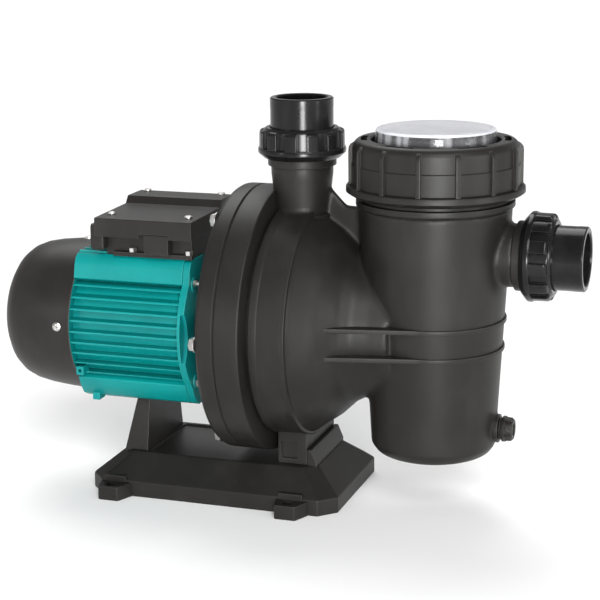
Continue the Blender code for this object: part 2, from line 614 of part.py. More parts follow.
def housing_outline():
    """Return the motor housing's section: side fins, corner panels and top and bottom flats."""
    half = []
    fin_zs = [FIN_PITCH * index - 0.001 for index in range(-FIN_HALF_COUNT, FIN_HALF_COUNT + 1)]
    half.append((0.0400, BOTTOM_FLAT_Z))
    half.append((0.0560, -0.0605))
    for height in fin_zs:
        for level, order in ((height - FIN_THICKNESS / 2, 0), (height + FIN_THICKNESS / 2, 1)):
            root = math.sqrt(HOUSING_ROOT_R ** 2 - level ** 2)
            tip = math.sqrt(HOUSING_R ** 2 - level ** 2)
            half.extend([(root, level), (tip, level)] if order == 0 else [(tip, level), (root, level)])
    half.append((0.0585, 0.0500))
    half.append((0.0565, 0.0690))
    half.append((0.0500, TOP_FLAT_Z))
    return half + [(-across, up) for across, up in reversed(half)]


def motor():
    """Model the finned housing, both end shields, the tie rods and the fan cover."""
    housing = add("motor_housing", prism(housing_outline(), HOUSING_LEFT, HOUSING_RIGHT, "X"), TEAL)
    cut(housing, rod(HOUSING_LEFT - 0.01, HOUSING_RIGHT + 0.01, HOUSING_BORE_R, "X", (0.0, 0.0), 28))
    rods = [rod(HOUSING_LEFT - 0.01, HOUSING_RIGHT + 0.01, TIE_ROD_R + 0.0004, "X", middle, 8)
            for middle in tie_rod_places()]
    cut(housing, together(*rods))
    cut(housing, rod(0.050, 0.085, 0.008, "Z", (-0.145, 0.0), 12))
    front_shield()
    rear_shield()
    for index, (across, up) in enumerate(tie_rod_places()):
        head = REAR_SHIELD_LEFT - GAP
        profile = [(head - 0.0035, 0.0), (head - 0.0035, 0.0040), (head, 0.0040), (head, TIE_ROD_R),
                   (PLATE_LEFT + 0.006, TIE_ROD_R), (PLATE_LEFT + 0.006, 0.0)]
        add(f"tie_rod_{index + 1}", turned(profile, "X", (across, up), 8), ZINC, (head, across, up))
    fan_cover()


def front_shield():
    """Model the motor's front shield with its bearing pocket and scalloped face."""
    left = HOUSING_RIGHT + GAP
    profile = [(left - 0.0072, BEARING_R + GAP), (left - 0.0072, 0.0240), (left, 0.0260),
               (left, SHIELD_R), (left + 0.0055, SHIELD_R), (left + 0.0065, 0.0790), (SHIELD_RIGHT, 0.0770),
               (SHIELD_RIGHT, 0.0095), (-0.0955, 0.0095), (-0.0955, BEARING_R + GAP)]
    shield = add("motor_front_shield", turned(profile, "X", (0.0, 0.0), 24, True), TEAL)
    cut(shield, block((-0.120, -0.100, TOP_FLAT_Z), (-0.080, 0.100, 0.100)))
    cut(shield, block((-0.120, -0.100, -0.100), (-0.080, 0.100, BOTTOM_FLAT_Z - 0.004)))
    rods = [rod(left - 0.01, SHIELD_RIGHT + 0.01, TIE_ROD_R + 0.0004, "X", middle, 8)
            for middle in tie_rod_places()]
    cut(shield, together(*rods))


def rear_shield():
    """Model the motor's rear shield with its bearing pocket."""
    right = HOUSING_LEFT - GAP
    profile = [(right + 0.0080, BEARING_R + GAP), (right + 0.0080, 0.0240), (right, 0.0260),
               (right, REAR_SHIELD_R), (REAR_SHIELD_LEFT, REAR_SHIELD_R), (REAR_SHIELD_LEFT, 0.0600),
               (-0.2350, 0.0560), (-0.2350, 0.0095), (-0.2310, 0.0095), (-0.2310, BEARING_R + GAP)]
    shield = add("motor_rear_shield", turned(profile, "X", (0.0, 0.0), 22, True), TEAL)
    rods = [rod(REAR_SHIELD_LEFT - 0.01, right + 0.01, TIE_ROD_R + 0.0004, "X", middle, 8)
            for middle in tie_rod_places()]
    cut(shield, together(*rods))
    hole = lambda: rod(0.0670, 0.0900, 0.0019, "Z", (COVER_SCREW_X, 0.0), 8)
    cut(shield, radial(hole, 4, "X", (0.0, 0.0), COVER_SCREW_TILT))


def fan_cover():
    """Model the domed fan cover with its air slots, and its screws."""
    wall = FAN_COVER_WALL
    outer = [(FAN_COVER_RIM, FAN_COVER_R), (-0.262, 0.0808), (-0.285, 0.0770), (-0.301, 0.0695),
             (-0.312, 0.0560), (-0.3165, 0.0400), (FAN_COVER_END, 0.0)]
    inner = [(FAN_COVER_END + wall, 0.0), (-0.3143, 0.0390), (-0.3103, 0.0545), (-0.2995, 0.0675),
             (-0.2845, 0.0748), (-0.262, 0.0786), (FAN_COVER_RIM, FAN_COVER_R - wall)]
    cover = add("fan_cover", turned([*inner, *outer], "X", (0.0, 0.0), 24), COVER_GREY)
    slots = []
    for index in range(-2, 3):
        across = 0.014 * index
        reach = math.sqrt(0.045 ** 2 - across ** 2)
        slots.append(block((-0.330, across - 0.0025, -reach), (-0.3085, across + 0.0025, reach)))
    cut(cover, together(*slots))
    hole = lambda: rod(0.0750, 0.0900, 0.0022, "Z", (COVER_SCREW_X, 0.0), 8)
    cut(cover, radial(hole, 4, "X", (0.0, 0.0), COVER_SCREW_TILT))
    for index in range(4):
        head = FAN_COVER_R + GAP
        profile = [(0.0690, 0.0), (0.0690, 0.0016), (head, 0.0016), (head, 0.0044),
                   (head + 0.0012, 0.0040), (head + 0.0020, 0.0022), (head + 0.0020, 0.0)]
        angle = COVER_SCREW_TILT + math.pi / 2 * index
        screw = rotated(turned(profile, "Z", (COVER_SCREW_X, 0.0), 8), angle, "X")
        add(f"fan_cover_screw_{index + 1}", screw, ZINC)


def terminal_box():
    """Model the terminal box: base, gasket, cover, screws, block, capacitor and gland."""
    left, right = BOX_X
    floor = TOP_FLAT_Z + GAP
    half = BOX_HALF_Y
    base = add("terminal_box_base", block((left, -half, floor), (right, half, BOX_TOP)), COVER_GREY)
    join(base, block((left + 0.026, -0.0555, floor), (right + 0.002, -half + UNDER, floor + 0.0045)))
    join(base, block((-0.1440, -0.0630, floor + 0.0045), (-0.1180, -half + UNDER, 0.0955)))
    cut(base, block((left + 0.003, -half + 0.009, floor + 0.003), (right - 0.003, half - 0.009, 0.120)))
    cut(base, block((left + 0.009, -half + 0.003, floor + 0.003), (right - 0.009, half - 0.003, 0.120)))
    cut(base, rod(0.060, 0.090, 0.008, "Z", (-0.145, 0.0), 12))
    cut(base, rod(0.030, 0.060, 0.0052, "Y", (GLAND_X, GLAND_Z), 12))
    gasket = add("terminal_box_gasket", block((left + 0.0005, -half + 0.0005, BOX_TOP + GAP),
                                              (right - 0.0005, half - 0.0005, CEILING_Z - GAP)), RUBBER)
    cut(gasket, block((left + 0.0035, -half + 0.009, 0.090), (right - 0.0035, half - 0.009, 0.120)))
    cut(gasket, block((left + 0.009, -half + 0.0035, 0.090), (right - 0.009, half - 0.0035, 0.120)))
    section = [(COVER_Y[0], SKIRT_Z), (COVER_Y[0], COVER_FRONT_Z - 0.002), (COVER_Y[0] + 0.002, COVER_FRONT_Z),
               (0.010, COVER_FRONT_Z + 0.0015), (0.016, COVER_REAR_Z), (0.047, COVER_REAR_Z),
               (COVER_Y[1], COVER_REAR_Z - 0.005), (COVER_Y[1], SKIRT_Z)]
    cover = add("terminal_box_cover", prism(section, COVER_X[0], COVER_X[1], "X"), COVER_GREY)
    cut(cover, block((COVER_X[0] + 0.0022, COVER_Y[0] + 0.0022, 0.080),
                     (COVER_X[1] - 0.0022, COVER_Y[1] - 0.0022, CEILING_Z)))
    cut(cover, block((left + 0.006, -half + 0.009, 0.090), (right - 0.006, half - 0.009, 0.1085)))
    cut(cover, block((-0.1475, -0.070, 0.085), (-0.1165, -0.060, 0.0960)))
    points = [(x, y) for x in (left + 0.005, right - 0.005) for y in (-half + 0.0050, half - 0.0050)]
    for tool_target in (base, gasket, cover):
        cut(tool_target, together(*(rod(0.0850, 0.130, 0.0021, "Z", point, 8) for point in points)))
    for index, point in enumerate(points):
        top = (COVER_FRONT_Z + 0.0006 if point[1] < 0 else COVER_REAR_Z) + GAP
        profile = [(0.0870, 0.0), (0.0870, 0.0017), (top, 0.0017), (top, 0.0038), (top + 0.0014, 0.0034),
                   (top + 0.0014, 0.0)]
        add(f"terminal_cover_screw_{index + 1}", turned(profile, "Z", point, 8), ZINC)
    add("terminal_block", block((-0.1300, -0.018, 0.0782), (-0.1080, 0.018, 0.0950)), BRASS)
    add("run_capacitor", rod(-0.038, 0.036, 0.0125, "Y", (-0.1700, 0.0911), 16), GLOSS_BLACK)
    centre = (GLAND_X, GLAND_Z)
    body = [(0.0400, 0.0035), (0.0400, 0.0050), (half + GAP, 0.0050), (half + GAP, GLAND_R),
            (half + 0.0040, GLAND_R), (half + 0.0040, 0.0055), (half + 0.0110, 0.0055), (half + 0.0110, 0.0035)]
    add("cable_gland_body", turned(body, "Y", centre, 12, True), BLACK, (GLAND_X, half, GLAND_Z))
    nut = [(half + 0.0043, 0.0065), (half + 0.0043, GLAND_R), (half + 0.0130, GLAND_R),
           (half + 0.0170, 0.0050), (half + 0.0170, 0.0035), (half + 0.0120, 0.0035), (half + 0.0120, 0.0065)]
    add("cable_gland_nut", turned(nut, "Y", centre, 12, True), BLACK, (GLAND_X, half + 0.0043, GLAND_Z))


def base():
    """Model the moulded base: hipped deck, slotted lugs, motor pedestal and end wall."""
    low, high = BASE_X
    half = BASE_HALF_Y
    corner = CORNER_CUT
    outline = [(low, -half + corner), (low + corner, -half), (high - corner, -half), (high, -half + corner),
               (high, half - corner), (high - corner, half), (low + corner, half), (low, half - corner)]
    bm = prism(outline, FLOOR_Z, FLOOR_Z + BASE_SIDE_H, "Z")
    top = max(bm.faces, key=lambda face: face.calc_center_median().z)
    raised = bmesh.ops.extrude_face_region(bm, geom=[top])
    bmesh.ops.delete(bm, geom=[top], context="FACES_ONLY")
    deck_low, deck_high = DECK_X
    for vert in (part for part in raised["geom"] if isinstance(part, bmesh.types.BMVert)):
        share_x = (vert.co.x - low) / (high - low)
        vert.co.x = deck_low + share_x * (deck_high - deck_low)
        vert.co.y *= DECK_HALF_Y / half
        vert.co.z = DECK_Z
    item = add("base", bm, BLACK)
    for start, end in LUG_SPANS:
        lug = [(start, -LUG_REACH + 0.004), (start + 0.004, -LUG_REACH), (end - 0.004, -LUG_REACH),
               (end, -LUG_REACH + 0.004), (end, LUG_REACH - 0.004), (end - 0.004, LUG_REACH),
               (start + 0.004, LUG_REACH), (start, LUG_REACH - 0.004)]
        join(item, prism(lug, FLOOR_Z, FLOOR_Z + BASE_SIDE_H - 0.001, "Z"))
    pedestal = [(-0.178, DECK_Z - 0.004), (-0.167, BOTTOM_FLAT_Z - GAP), (PEDESTAL_RIGHT, BOTTOM_FLAT_Z - GAP),
                (PEDESTAL_RIGHT, DECK_Z - 0.004)]
    post = prism(pedestal, -0.048, 0.048, "Y")
    for vert in post.verts:
        if vert.co.z > DECK_Z:
            vert.co.y *= 0.80
    join(item, post)
    wall = [(FOOT_X[1] + GAP, DECK_Z - 0.004), (FOOT_X[1] + GAP, -0.112), (0.0215, -0.112), (0.0270, -0.125),
            (0.0270, DECK_Z - 0.004)]
    join(item, prism(wall, -FOOT_HALF_Y, FOOT_HALF_Y, "Y"))
    cut(item, block((-0.148, -0.046, -0.142), (-0.020, 0.046, -0.100)))
    cut(item, block((low + 0.024, -half + 0.010, FLOOR_Z - 0.005), (high - 0.018, half - 0.010, FLOOR_Z + 0.014)))
    slots = []
    for start, end in LUG_SPANS:
        middle = (start + end) / 2
        for side in (-1, 1):
            near, far = sorted((side * 0.0830, side * 0.0940))
            slots.append(block((middle - 0.0045, near, FLOOR_Z - 0.005), (middle + 0.0045, far, FLOOR_Z + 0.030)))
    cut(item, together(*slots))


def main():
    """Model every sub-part of the pump."""
    pump_body()
    lid_group()
    basket()
    union("suction", "X", SUCTION, SUCTION_NUT_X)
    union("discharge", "Z", (0.0, 0.0), DISCHARGE_NUT_Z)
    drain()
    seal_plate()
    hydraulics()
    rotor()
    stator()
    motor()
    terminal_box()
    base()


main()
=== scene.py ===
"""Looks of a self-priming pool pump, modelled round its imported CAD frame.

Every form is shaped in the pump's own frame, in metres: X runs along the shaft towards the strainer pot,
Z is up, and the origin is where the discharge port's axis crosses the shaft's. Layout carries it to the
row frame. Each sub-assembly is a class whose fields are its sizes.
"""

import json
import logging
import math
from dataclasses import dataclass
from enum import Enum
from typing import Iterable, Sequence

import bmesh
import bpy
from mathutils import Matrix, Vector

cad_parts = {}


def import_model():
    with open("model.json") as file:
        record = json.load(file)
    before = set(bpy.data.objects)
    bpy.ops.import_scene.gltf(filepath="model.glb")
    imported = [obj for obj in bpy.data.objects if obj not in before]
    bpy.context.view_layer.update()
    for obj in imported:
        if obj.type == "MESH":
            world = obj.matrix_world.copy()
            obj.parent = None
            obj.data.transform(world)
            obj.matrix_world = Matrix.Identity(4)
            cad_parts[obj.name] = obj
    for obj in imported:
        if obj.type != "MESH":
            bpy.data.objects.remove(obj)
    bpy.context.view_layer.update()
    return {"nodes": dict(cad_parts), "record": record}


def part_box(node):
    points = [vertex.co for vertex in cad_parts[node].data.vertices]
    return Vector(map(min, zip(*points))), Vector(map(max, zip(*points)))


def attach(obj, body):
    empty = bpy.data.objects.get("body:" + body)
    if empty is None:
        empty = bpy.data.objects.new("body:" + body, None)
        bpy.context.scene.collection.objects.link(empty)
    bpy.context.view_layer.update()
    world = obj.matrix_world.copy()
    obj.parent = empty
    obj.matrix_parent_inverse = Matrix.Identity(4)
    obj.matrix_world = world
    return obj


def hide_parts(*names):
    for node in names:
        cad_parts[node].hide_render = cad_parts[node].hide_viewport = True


Point = tuple[float, float]
Colour = tuple[float, float, float]
Profile = Sequence[Point]

LOG = logging.getLogger("pool_pump")
FULL_TURN = 2 * math.pi
GAP = 0.0003  # clearance between pieces that only touch
CASING_LIFT = 0.002  # how far the casing's looks stand over its solids
MERGE_DISTANCE = 1e-6
CORNER_SAMPLES = 4


class Axis(Enum):
    """The three directions a form is turned about or extruded along."""

    X = "X"
    Y = "Y"
    Z = "Z"

    def point(self, along: float, across: float = 0.0, up: float = 0.0) -> Vector:
        """Return the point given by its place along the axis and across it."""
        orders = {"X": (along, across, up), "Y": (across, along, up), "Z": (across, up, along)}
        return Vector(orders[self.value])


class Merge(Enum):
    """How one solid is combined with another."""

    UNION = "UNION"
    DIFFERENCE = "DIFFERENCE"


@dataclass(frozen=True)
class Layout:
    """The pump's main axes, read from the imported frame.

    Args:
        origin: the pump frame's origin in the row frame.
        pot_x: the strainer pot's axis, along the shaft.
        suction_z: the suction port's height over the shaft.
        drain_z: the drain plug's height over the shaft.
        casing_rise: the casing's centre over the shaft.
    """

    origin: Vector
    pot_x: float
    suction_z: float
    drain_z: float
    casing_rise: float

    @classmethod
    def read(cls) -> "Layout":
        """Return the layout that the CAD nodes' boxes give."""
        tail = middle_of("discharge_union_tail")
        shaft = middle_of("motor_shaft")
        origin = Vector((tail.x, shaft.y, shaft.z))
        return cls(origin, middle_of("lid").x - origin.x, middle_of("suction_union_tail").z - origin.z,
                   middle_of("drain_plug").z - origin.z,
                   middle_of("casing_o_ring").z - origin.z + CASING_LIFT)

    @property
    def pot(self) -> Point:
        """The pot's axis as (x, y)."""
        return (self.pot_x, 0.0)

    @property
    def casing(self) -> Point:
        """The casing's axis as (y, z)."""
        return (0.0, self.casing_rise)


def middle_of(node: str) -> Vector:
    """Return the middle of a CAD node's box."""
    low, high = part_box(node)
    return (low + high) / 2


# ---------------------------------------------------------------- shader sheets


class Signal:
    """A node output that arithmetic can be written with.

    Args:
        sheet: the sheet it belongs to.
        socket: the output socket.
    """

    def __init__(self, sheet: "Sheet", socket: bpy.types.NodeSocket) -> None:
        self.sheet = sheet
        self.socket = socket

    def _math(self, operation: str, first: object, second: object) -> "Signal":
        """Return a Math node's result."""
        return self.sheet.node("ShaderNodeMath", {"operation": operation}, {0: first, 1: second})

    def __add__(self, other: object) -> "Signal":
        """Return the sum."""
        return self._math("ADD", self, other)

    def __radd__(self, other: object) -> "Signal":
        """Return the sum."""
        return self._math("ADD", other, self)

    def __sub__(self, other: object) -> "Signal":
        """Return the difference."""
        return self._math("SUBTRACT", self, other)

    def __rsub__(self, other: object) -> "Signal":
        """Return the difference."""
        return self._math("SUBTRACT", other, self)

    def __mul__(self, other: object) -> "Signal":
        """Return the product."""
        return self._math("MULTIPLY", self, other)

    def __rmul__(self, other: object) -> "Signal":
        """Return the product."""
        return self._math("MULTIPLY", other, self)

    def between(self, low: float, high: float) -> "Signal":
        """Return 0 below low, 1 above high and a smooth rise in between."""
        settings = {"interpolation_type": "SMOOTHSTEP", "clamp": True}
        return self.sheet.node("ShaderNodeMapRange", settings, {0: self, 1: low, 2: high, 3: 0.0, 4: 1.0})


class Sheet:
    """The node sheet of one material.

    Args:
        name: the material's name.
    """

    def __init__(self, name: str) -> None:
        self.material = bpy.data.materials.new(name)
        self.material.use_nodes = True
        self.tree = self.material.node_tree
        self.shader = self.tree.nodes["Principled BSDF"]
        self.place = self.node("ShaderNodeTexCoord", output="Object")

    def node(self, kind: str, settings: dict | None = None, inputs: dict | None = None,
             output: str | int = 0) -> Signal:
        """Make a node and return one of its outputs.

        Args:
            kind: the node's type.
            settings: properties set first; "stops" gives a ramp's (position, colour) pairs.
            inputs: values or signals by socket name or number.
            output: the output's name or number.

        Returns:
            The output as a signal.
        """
        made = self.tree.nodes.new(kind)
        for name, value in (settings or {}).items():
            if name == "stops":
                self._set_stops(made.color_ramp, value)
            else:
                setattr(made, name, value)
        for name, value in (inputs or {}).items():
            self._feed(made.inputs[name], value)
        return Signal(self, made.outputs[output])

    def _set_stops(self, ramp: bpy.types.ColorRamp, stops: Sequence[tuple[float, Colour]]) -> None:
        """Give a ramp its stops."""
        while len(ramp.elements) < len(stops):
            ramp.elements.new(0.5)
        for element, (position, colour) in zip(ramp.elements, stops):
            element.position = position
            element.color = (*colour, 1.0)

    def _feed(self, socket: bpy.types.NodeSocket, value: object) -> None:
        """Link a signal to a socket, or set its value."""
        if isinstance(value, Signal):
            self.tree.links.new(value.socket, socket)
        elif isinstance(value, tuple) and len(value) == 3 and socket.type == "RGBA":
            socket.default_value = (*value, 1.0)
        else:
            socket.default_value = value

    def noise(self, scale: float, detail: float = 2.0, stretch: Colour = (1.0, 1.0, 1.0)) -> Signal:
        """Return noise in object space, scale cells to the metre, stretched by axis."""
        place = self.place
        if stretch != (1.0, 1.0, 1.0):
            place = self.node("ShaderNodeMapping", None, {"Vector": place, "Scale": stretch})
        return self.node("ShaderNodeTexNoise", None, {"Vector": place, "Scale": scale, "Detail": detail})

    def mix(self, factor: object, first: object, second: object) -> Signal:
        """Return a colour between two."""
        return self.node("ShaderNodeMix", {"data_type": "RGBA"}, {0: factor, 6: first, 7: second}, 2)

    def corners(self, radius: float) -> Signal:
        """Return a mask of every edge and corner, reaching as far as a radius in metres."""
        rounded = self.node("ShaderNodeBevel", {"samples": CORNER_SAMPLES}, {"Radius": radius})
        plain = self.node("ShaderNodeNewGeometry", output="Normal")
        product = {"operation": "DOT_PRODUCT"}
        facing = self.node("ShaderNodeVectorMath", product, {0: rounded, 1: plain}, "Value")
        return (1.0 - facing).between(0.02, 0.22)

    def edges(self, radius: float = 0.0012) -> Signal:
        """Return a mask of outward edges."""
        pointed = self.node("ShaderNodeNewGeometry", output="Pointiness").between(0.502, 0.515)
        return self.corners(radius) * pointed

    def hollows(self, radius: float = 0.0030) -> Signal:
        """Return a mask of inward corners."""
        pointed = self.node("ShaderNodeNewGeometry", output="Pointiness").between(0.485, 0.498)
        return self.corners(radius) * (1.0 - pointed)

    def bump(self, height: Signal, strength: float, distance: float) -> Signal:
        """Return a normal raised by a height."""
        return self.node("ShaderNodeBump", None,
                         {"Height": height, "Strength": strength, "Distance": distance}, "Normal")

    def finish(self, **sockets: object) -> bpy.types.Material:
        """Set the shader's sockets by name, with _ for a space, and return the material."""
        for name, value in sockets.items():
            self._feed(self.shader.inputs[name.replace("_", " ")], value)
        return self.material


@dataclass(frozen=True)
class Finish:
    """A surface finish: its record slot, its main colour and its roughness.

    Args:
        slot: the record's material slot.
        shade: the main colour, linear.
        roughness: the mean roughness.
    """

    slot: str
    shade: Colour
    roughness: float

    def material(self) -> bpy.types.Material:
        """Return the finish's material, made once."""
        name = f"{self.slot}_finish"
        return bpy.data.materials.get(name) or self.make(Sheet(name))

    def make(self, sheet: Sheet) -> bpy.types.Material:
        """Build the material on a sheet."""
        raise NotImplementedError


@dataclass(frozen=True)
class Moulded(Finish):
    """Moulded plastic: spark-eroded grain, faint flow mottling, a painted highlight on edges and painted
    shade in inward corners.

    Args:
        pale: the colour that mottling tends to, and the colour of the painted highlight on edges.
        edge_highlight: how far edges go to the pale colour, as a painted highlight.
        grain: the grain's depth in metres.
        grain_scale: grain cells to the metre.
        shine: the specular level.
        cloud_scale: cells to the metre of the broad clouding.
        flow_scale: cells to the metre of the flow marks.
        mottling: how far clouding, flow marks and grain each go to the pale colour.
        hollow_shade: how far inward corners darken, as painted shade.
    """

    pale: Colour = (0.08, 0.08, 0.08)
    edge_highlight: float = 0.5
    grain: float = 0.00012
    grain_scale: float = 1500.0
    shine: float = 0.22
    cloud_scale: float = 16.0
    flow_scale: float = 60.0
    mottling: Colour = (0.09, 0.07, 0.04)
    hollow_shade: float = 0.35

    def make(self, sheet: Sheet) -> bpy.types.Material:
        """Build the plastic."""
        cloud = sheet.noise(self.cloud_scale, 3.0)
        flow = sheet.noise(self.flow_scale, 4.0, (1.0, 1.0, 0.35))
        speck = sheet.noise(self.grain_scale, 2.0)
        clouding, flowing, speckling = self.mottling
        mottled = (cloud.between(0.35, 0.75) * clouding + flow.between(0.45, 0.8) * flowing
                   + speck * speckling)
        tone = sheet.mix(mottled, self.shade, self.pale)
        # painted highlight: outward edges are mixed towards the pale colour
        highlighted = sheet.mix(sheet.edges() * self.edge_highlight, tone, self.pale)
        # painted shade: inward corners are mixed towards half the main colour
        base = sheet.mix(sheet.hollows() * self.hollow_shade, highlighted, tuple(c * 0.5 for c in self.shade))
        rough = self.roughness - 0.05 + cloud * 0.08 + speck * 0.04
        return sheet.finish(Base_Color=base, Roughness=rough, IOR=1.49, Specular_IOR_Level=self.shine,
                            Normal=sheet.bump(speck + flow * 0.3, 0.35, self.grain))


@dataclass(frozen=True)
class Painted(Finish):
    """Stove enamel over a ribbed casting: orange peel, painted shade in the hollows and a painted highlight
    on edges.

    Args:
        pale: the colour of the painted highlight on edges.
        deep: the darker tone that the clouding tends to, and the colour of the painted shade in the hollows.
        edge_radius: how far the painted highlight reaches from edges.
        hollow_radius: how far the painted shade reaches into the hollows.
    """

    pale: Colour = (0.035, 0.35, 0.34)
    deep: Colour = (0.0, 0.050, 0.070)
    edge_radius: float = 0.0010
    hollow_radius: float = 0.0045

    def make(self, sheet: Sheet) -> bpy.types.Material:
        """Build the enamel."""
        cloud = sheet.noise(24.0, 3.0)
        peel = sheet.noise(420.0, 2.0)
        cast = sheet.noise(1300.0, 3.0)
        tone = sheet.mix(cloud.between(0.3, 0.8) * 0.22, self.shade, self.deep)
        # painted highlight: edges are mixed towards the pale colour
        edged = sheet.mix(sheet.edges(self.edge_radius) * 0.9, tone, self.pale)
        # painted shade: hollows between the fins are mixed towards the deep colour
        base = sheet.mix(sheet.hollows(self.hollow_radius) * 0.8, edged, self.deep)
        rough = self.roughness - 0.04 + peel * 0.08
        return sheet.finish(Base_Color=base, Roughness=rough, Specular_IOR_Level=0.22,
                            Normal=sheet.bump(peel + cast * 0.4, 0.30, 0.00015))


@dataclass(frozen=True)
class Metal(Finish):
    """Bare or plated metal: fine turning marks and a little staining.

    Args:
        stain: the colour of its staining.
        stretch: how the marks are stretched by axis.
    """

    stain: Colour = (0.35, 0.34, 0.32)
    stretch: Colour = (1.0, 1.0, 1.0)

    def make(self, sheet: Sheet) -> bpy.types.Material:
        """Build the metal."""
        cloud = sheet.noise(120.0, 3.0)
        marks = sheet.noise(900.0, 3.0, self.stretch)
        tone = sheet.mix(cloud.between(0.45, 0.75) * 0.5, self.shade, self.stain)
        rough = self.roughness - 0.06 + marks * 0.14
        return sheet.finish(Base_Color=tone, Roughness=rough, Metallic=1.0,
                            Normal=sheet.bump(marks, 0.25, 0.00006))


@dataclass(frozen=True)
class Laminated(Metal):
    """Stacked core sheets: fine dark joints across the shaft."""

    def make(self, sheet: Sheet) -> bpy.types.Material:
        """Build the stack."""
        sheets = sheet.node("ShaderNodeTexWave", {"bands_direction": "X"},
                            {"Vector": sheet.place, "Scale": 320.0, "Distortion": 0.3})
        tone = sheet.mix(sheets.between(0.0, 0.35), self.stain, self.shade)
        return sheet.finish(Base_Color=tone, Roughness=self.roughness - 0.05 + sheet.noise(300.0) * 0.1,
                            Metallic=1.0, Normal=sheet.bump(sheets, 0.4, 0.0001))


@dataclass(frozen=True)
class Clear(Finish):
    """Clear moulded plastic, thick enough to look milky, with faint flow lines and fine scuffs; the wall
    under the window is painted darker as painted shade, with vertical streaks of painted reflection.

    Args:
        cover: how much the window hides of what is behind it.
        wall_cover: the same for the thin wall under the window.
        rim_z: the height in the row frame where the wall meets the window.
    """

    cover: float = 0.90
    wall_cover: float = 0.30
    rim_z: float = 0.3706

    def make(self, sheet: Sheet) -> bpy.types.Material:
        """Build the clear plastic."""
        flow = sheet.noise(30.0, 3.0)
        scuff = sheet.noise(700.0, 4.0, (1.0, 0.2, 1.0))
        height = sheet.node("ShaderNodeSeparateXYZ", None, {0: sheet.place}, "Z")
        window = height.between(self.rim_z, self.rim_z + 0.0010)
        tone = sheet.mix(flow.between(0.35, 0.75) * 0.5, self.shade, (0.78, 0.79, 0.83))
        # painted reflection: vertical streaks on the wall, which also make the wall more opaque
        reflection_streaks = sheet.noise(60.0, 2.0, (1.0, 1.0, 0.05)).between(0.45, 0.62)
        # painted shade: the wall's colour is darker than the window's
        wall = sheet.mix(reflection_streaks, (0.12, 0.12, 0.125), (0.42, 0.42, 0.44))
        rough = self.roughness + scuff.between(0.55, 0.8) * 0.12
        alpha = self.wall_cover + reflection_streaks * 0.3 + window * (self.cover - self.wall_cover - reflection_streaks * 0.3)
        return sheet.finish(Base_Color=sheet.mix(window, wall, tone), Roughness=rough, IOR=1.49, Alpha=alpha,
                            Normal=sheet.bump(flow, 0.15, 0.0004))


WET_PLASTIC = Moulded("wet_plastic", (0.0085, 0.0080, 0.0074), 0.42, pale=(0.062, 0.058, 0.054), edge_highlight=0.7)
UNION_PLASTIC = Moulded("union_plastic", (0.0035, 0.0035, 0.0035), 0.18, pale=(0.05, 0.05, 0.05), edge_highlight=0.5,
                        grain=0.00003, shine=0.20)
COVER_PLASTIC = Moulded("cover_plastic", (0.0110, 0.0098, 0.0090), 0.40, pale=(0.065, 0.059, 0.055), edge_highlight=0.6)
BASKET_PLASTIC = Moulded("basket_plastic", (0.40, 0.40, 0.385), 0.45, pale=(0.52, 0.52, 0.50), edge_highlight=0.3)
IMPELLER_PLASTIC = Moulded("impeller_plastic", (0.06, 0.06, 0.065), 0.45, pale=(0.16, 0.16, 0.17))
SEAL_RUBBER = Moulded("seal_rubber", (0.010, 0.010, 0.010), 0.72, pale=(0.035, 0.035, 0.035), edge_highlight=0.2,
                      grain=0.00008, grain_scale=2200.0)
CERAMIC = Moulded("ceramic", (0.60, 0.59, 0.56), 0.22, pale=(0.72, 0.71, 0.68), edge_highlight=0.2, grain=0.00003)
MOTOR_PAINT = Painted("motor_paint", (0.0, 0.190, 0.182), 0.42)
ZINC = Metal("zinc_steel", (0.55, 0.54, 0.52), 0.40)
SHAFT_STEEL = Metal("shaft_steel", (0.62, 0.62, 0.62), 0.28, stretch=(8.0, 1.0, 1.0))
BRASS = Metal("brass", (0.72, 0.52, 0.22), 0.30, stain=(0.38, 0.24, 0.09))
CORE_STEEL = Laminated("core_steel", (0.30, 0.30, 0.31), 0.5, stain=(0.05, 0.05, 0.055))
CLEAR_LID = Clear("clear_lid", (0.62, 0.62, 0.67), 0.12)
FINISHES = (WET_PLASTIC, UNION_PLASTIC, COVER_PLASTIC, BASKET_PLASTIC, IMPELLER_PLASTIC, SEAL_RUBBER, CERAMIC,
            MOTOR_PAINT, ZINC, SHAFT_STEEL, BRASS, CORE_STEEL, CLEAR_LID)


# ---------------------------------------------------------------- forms


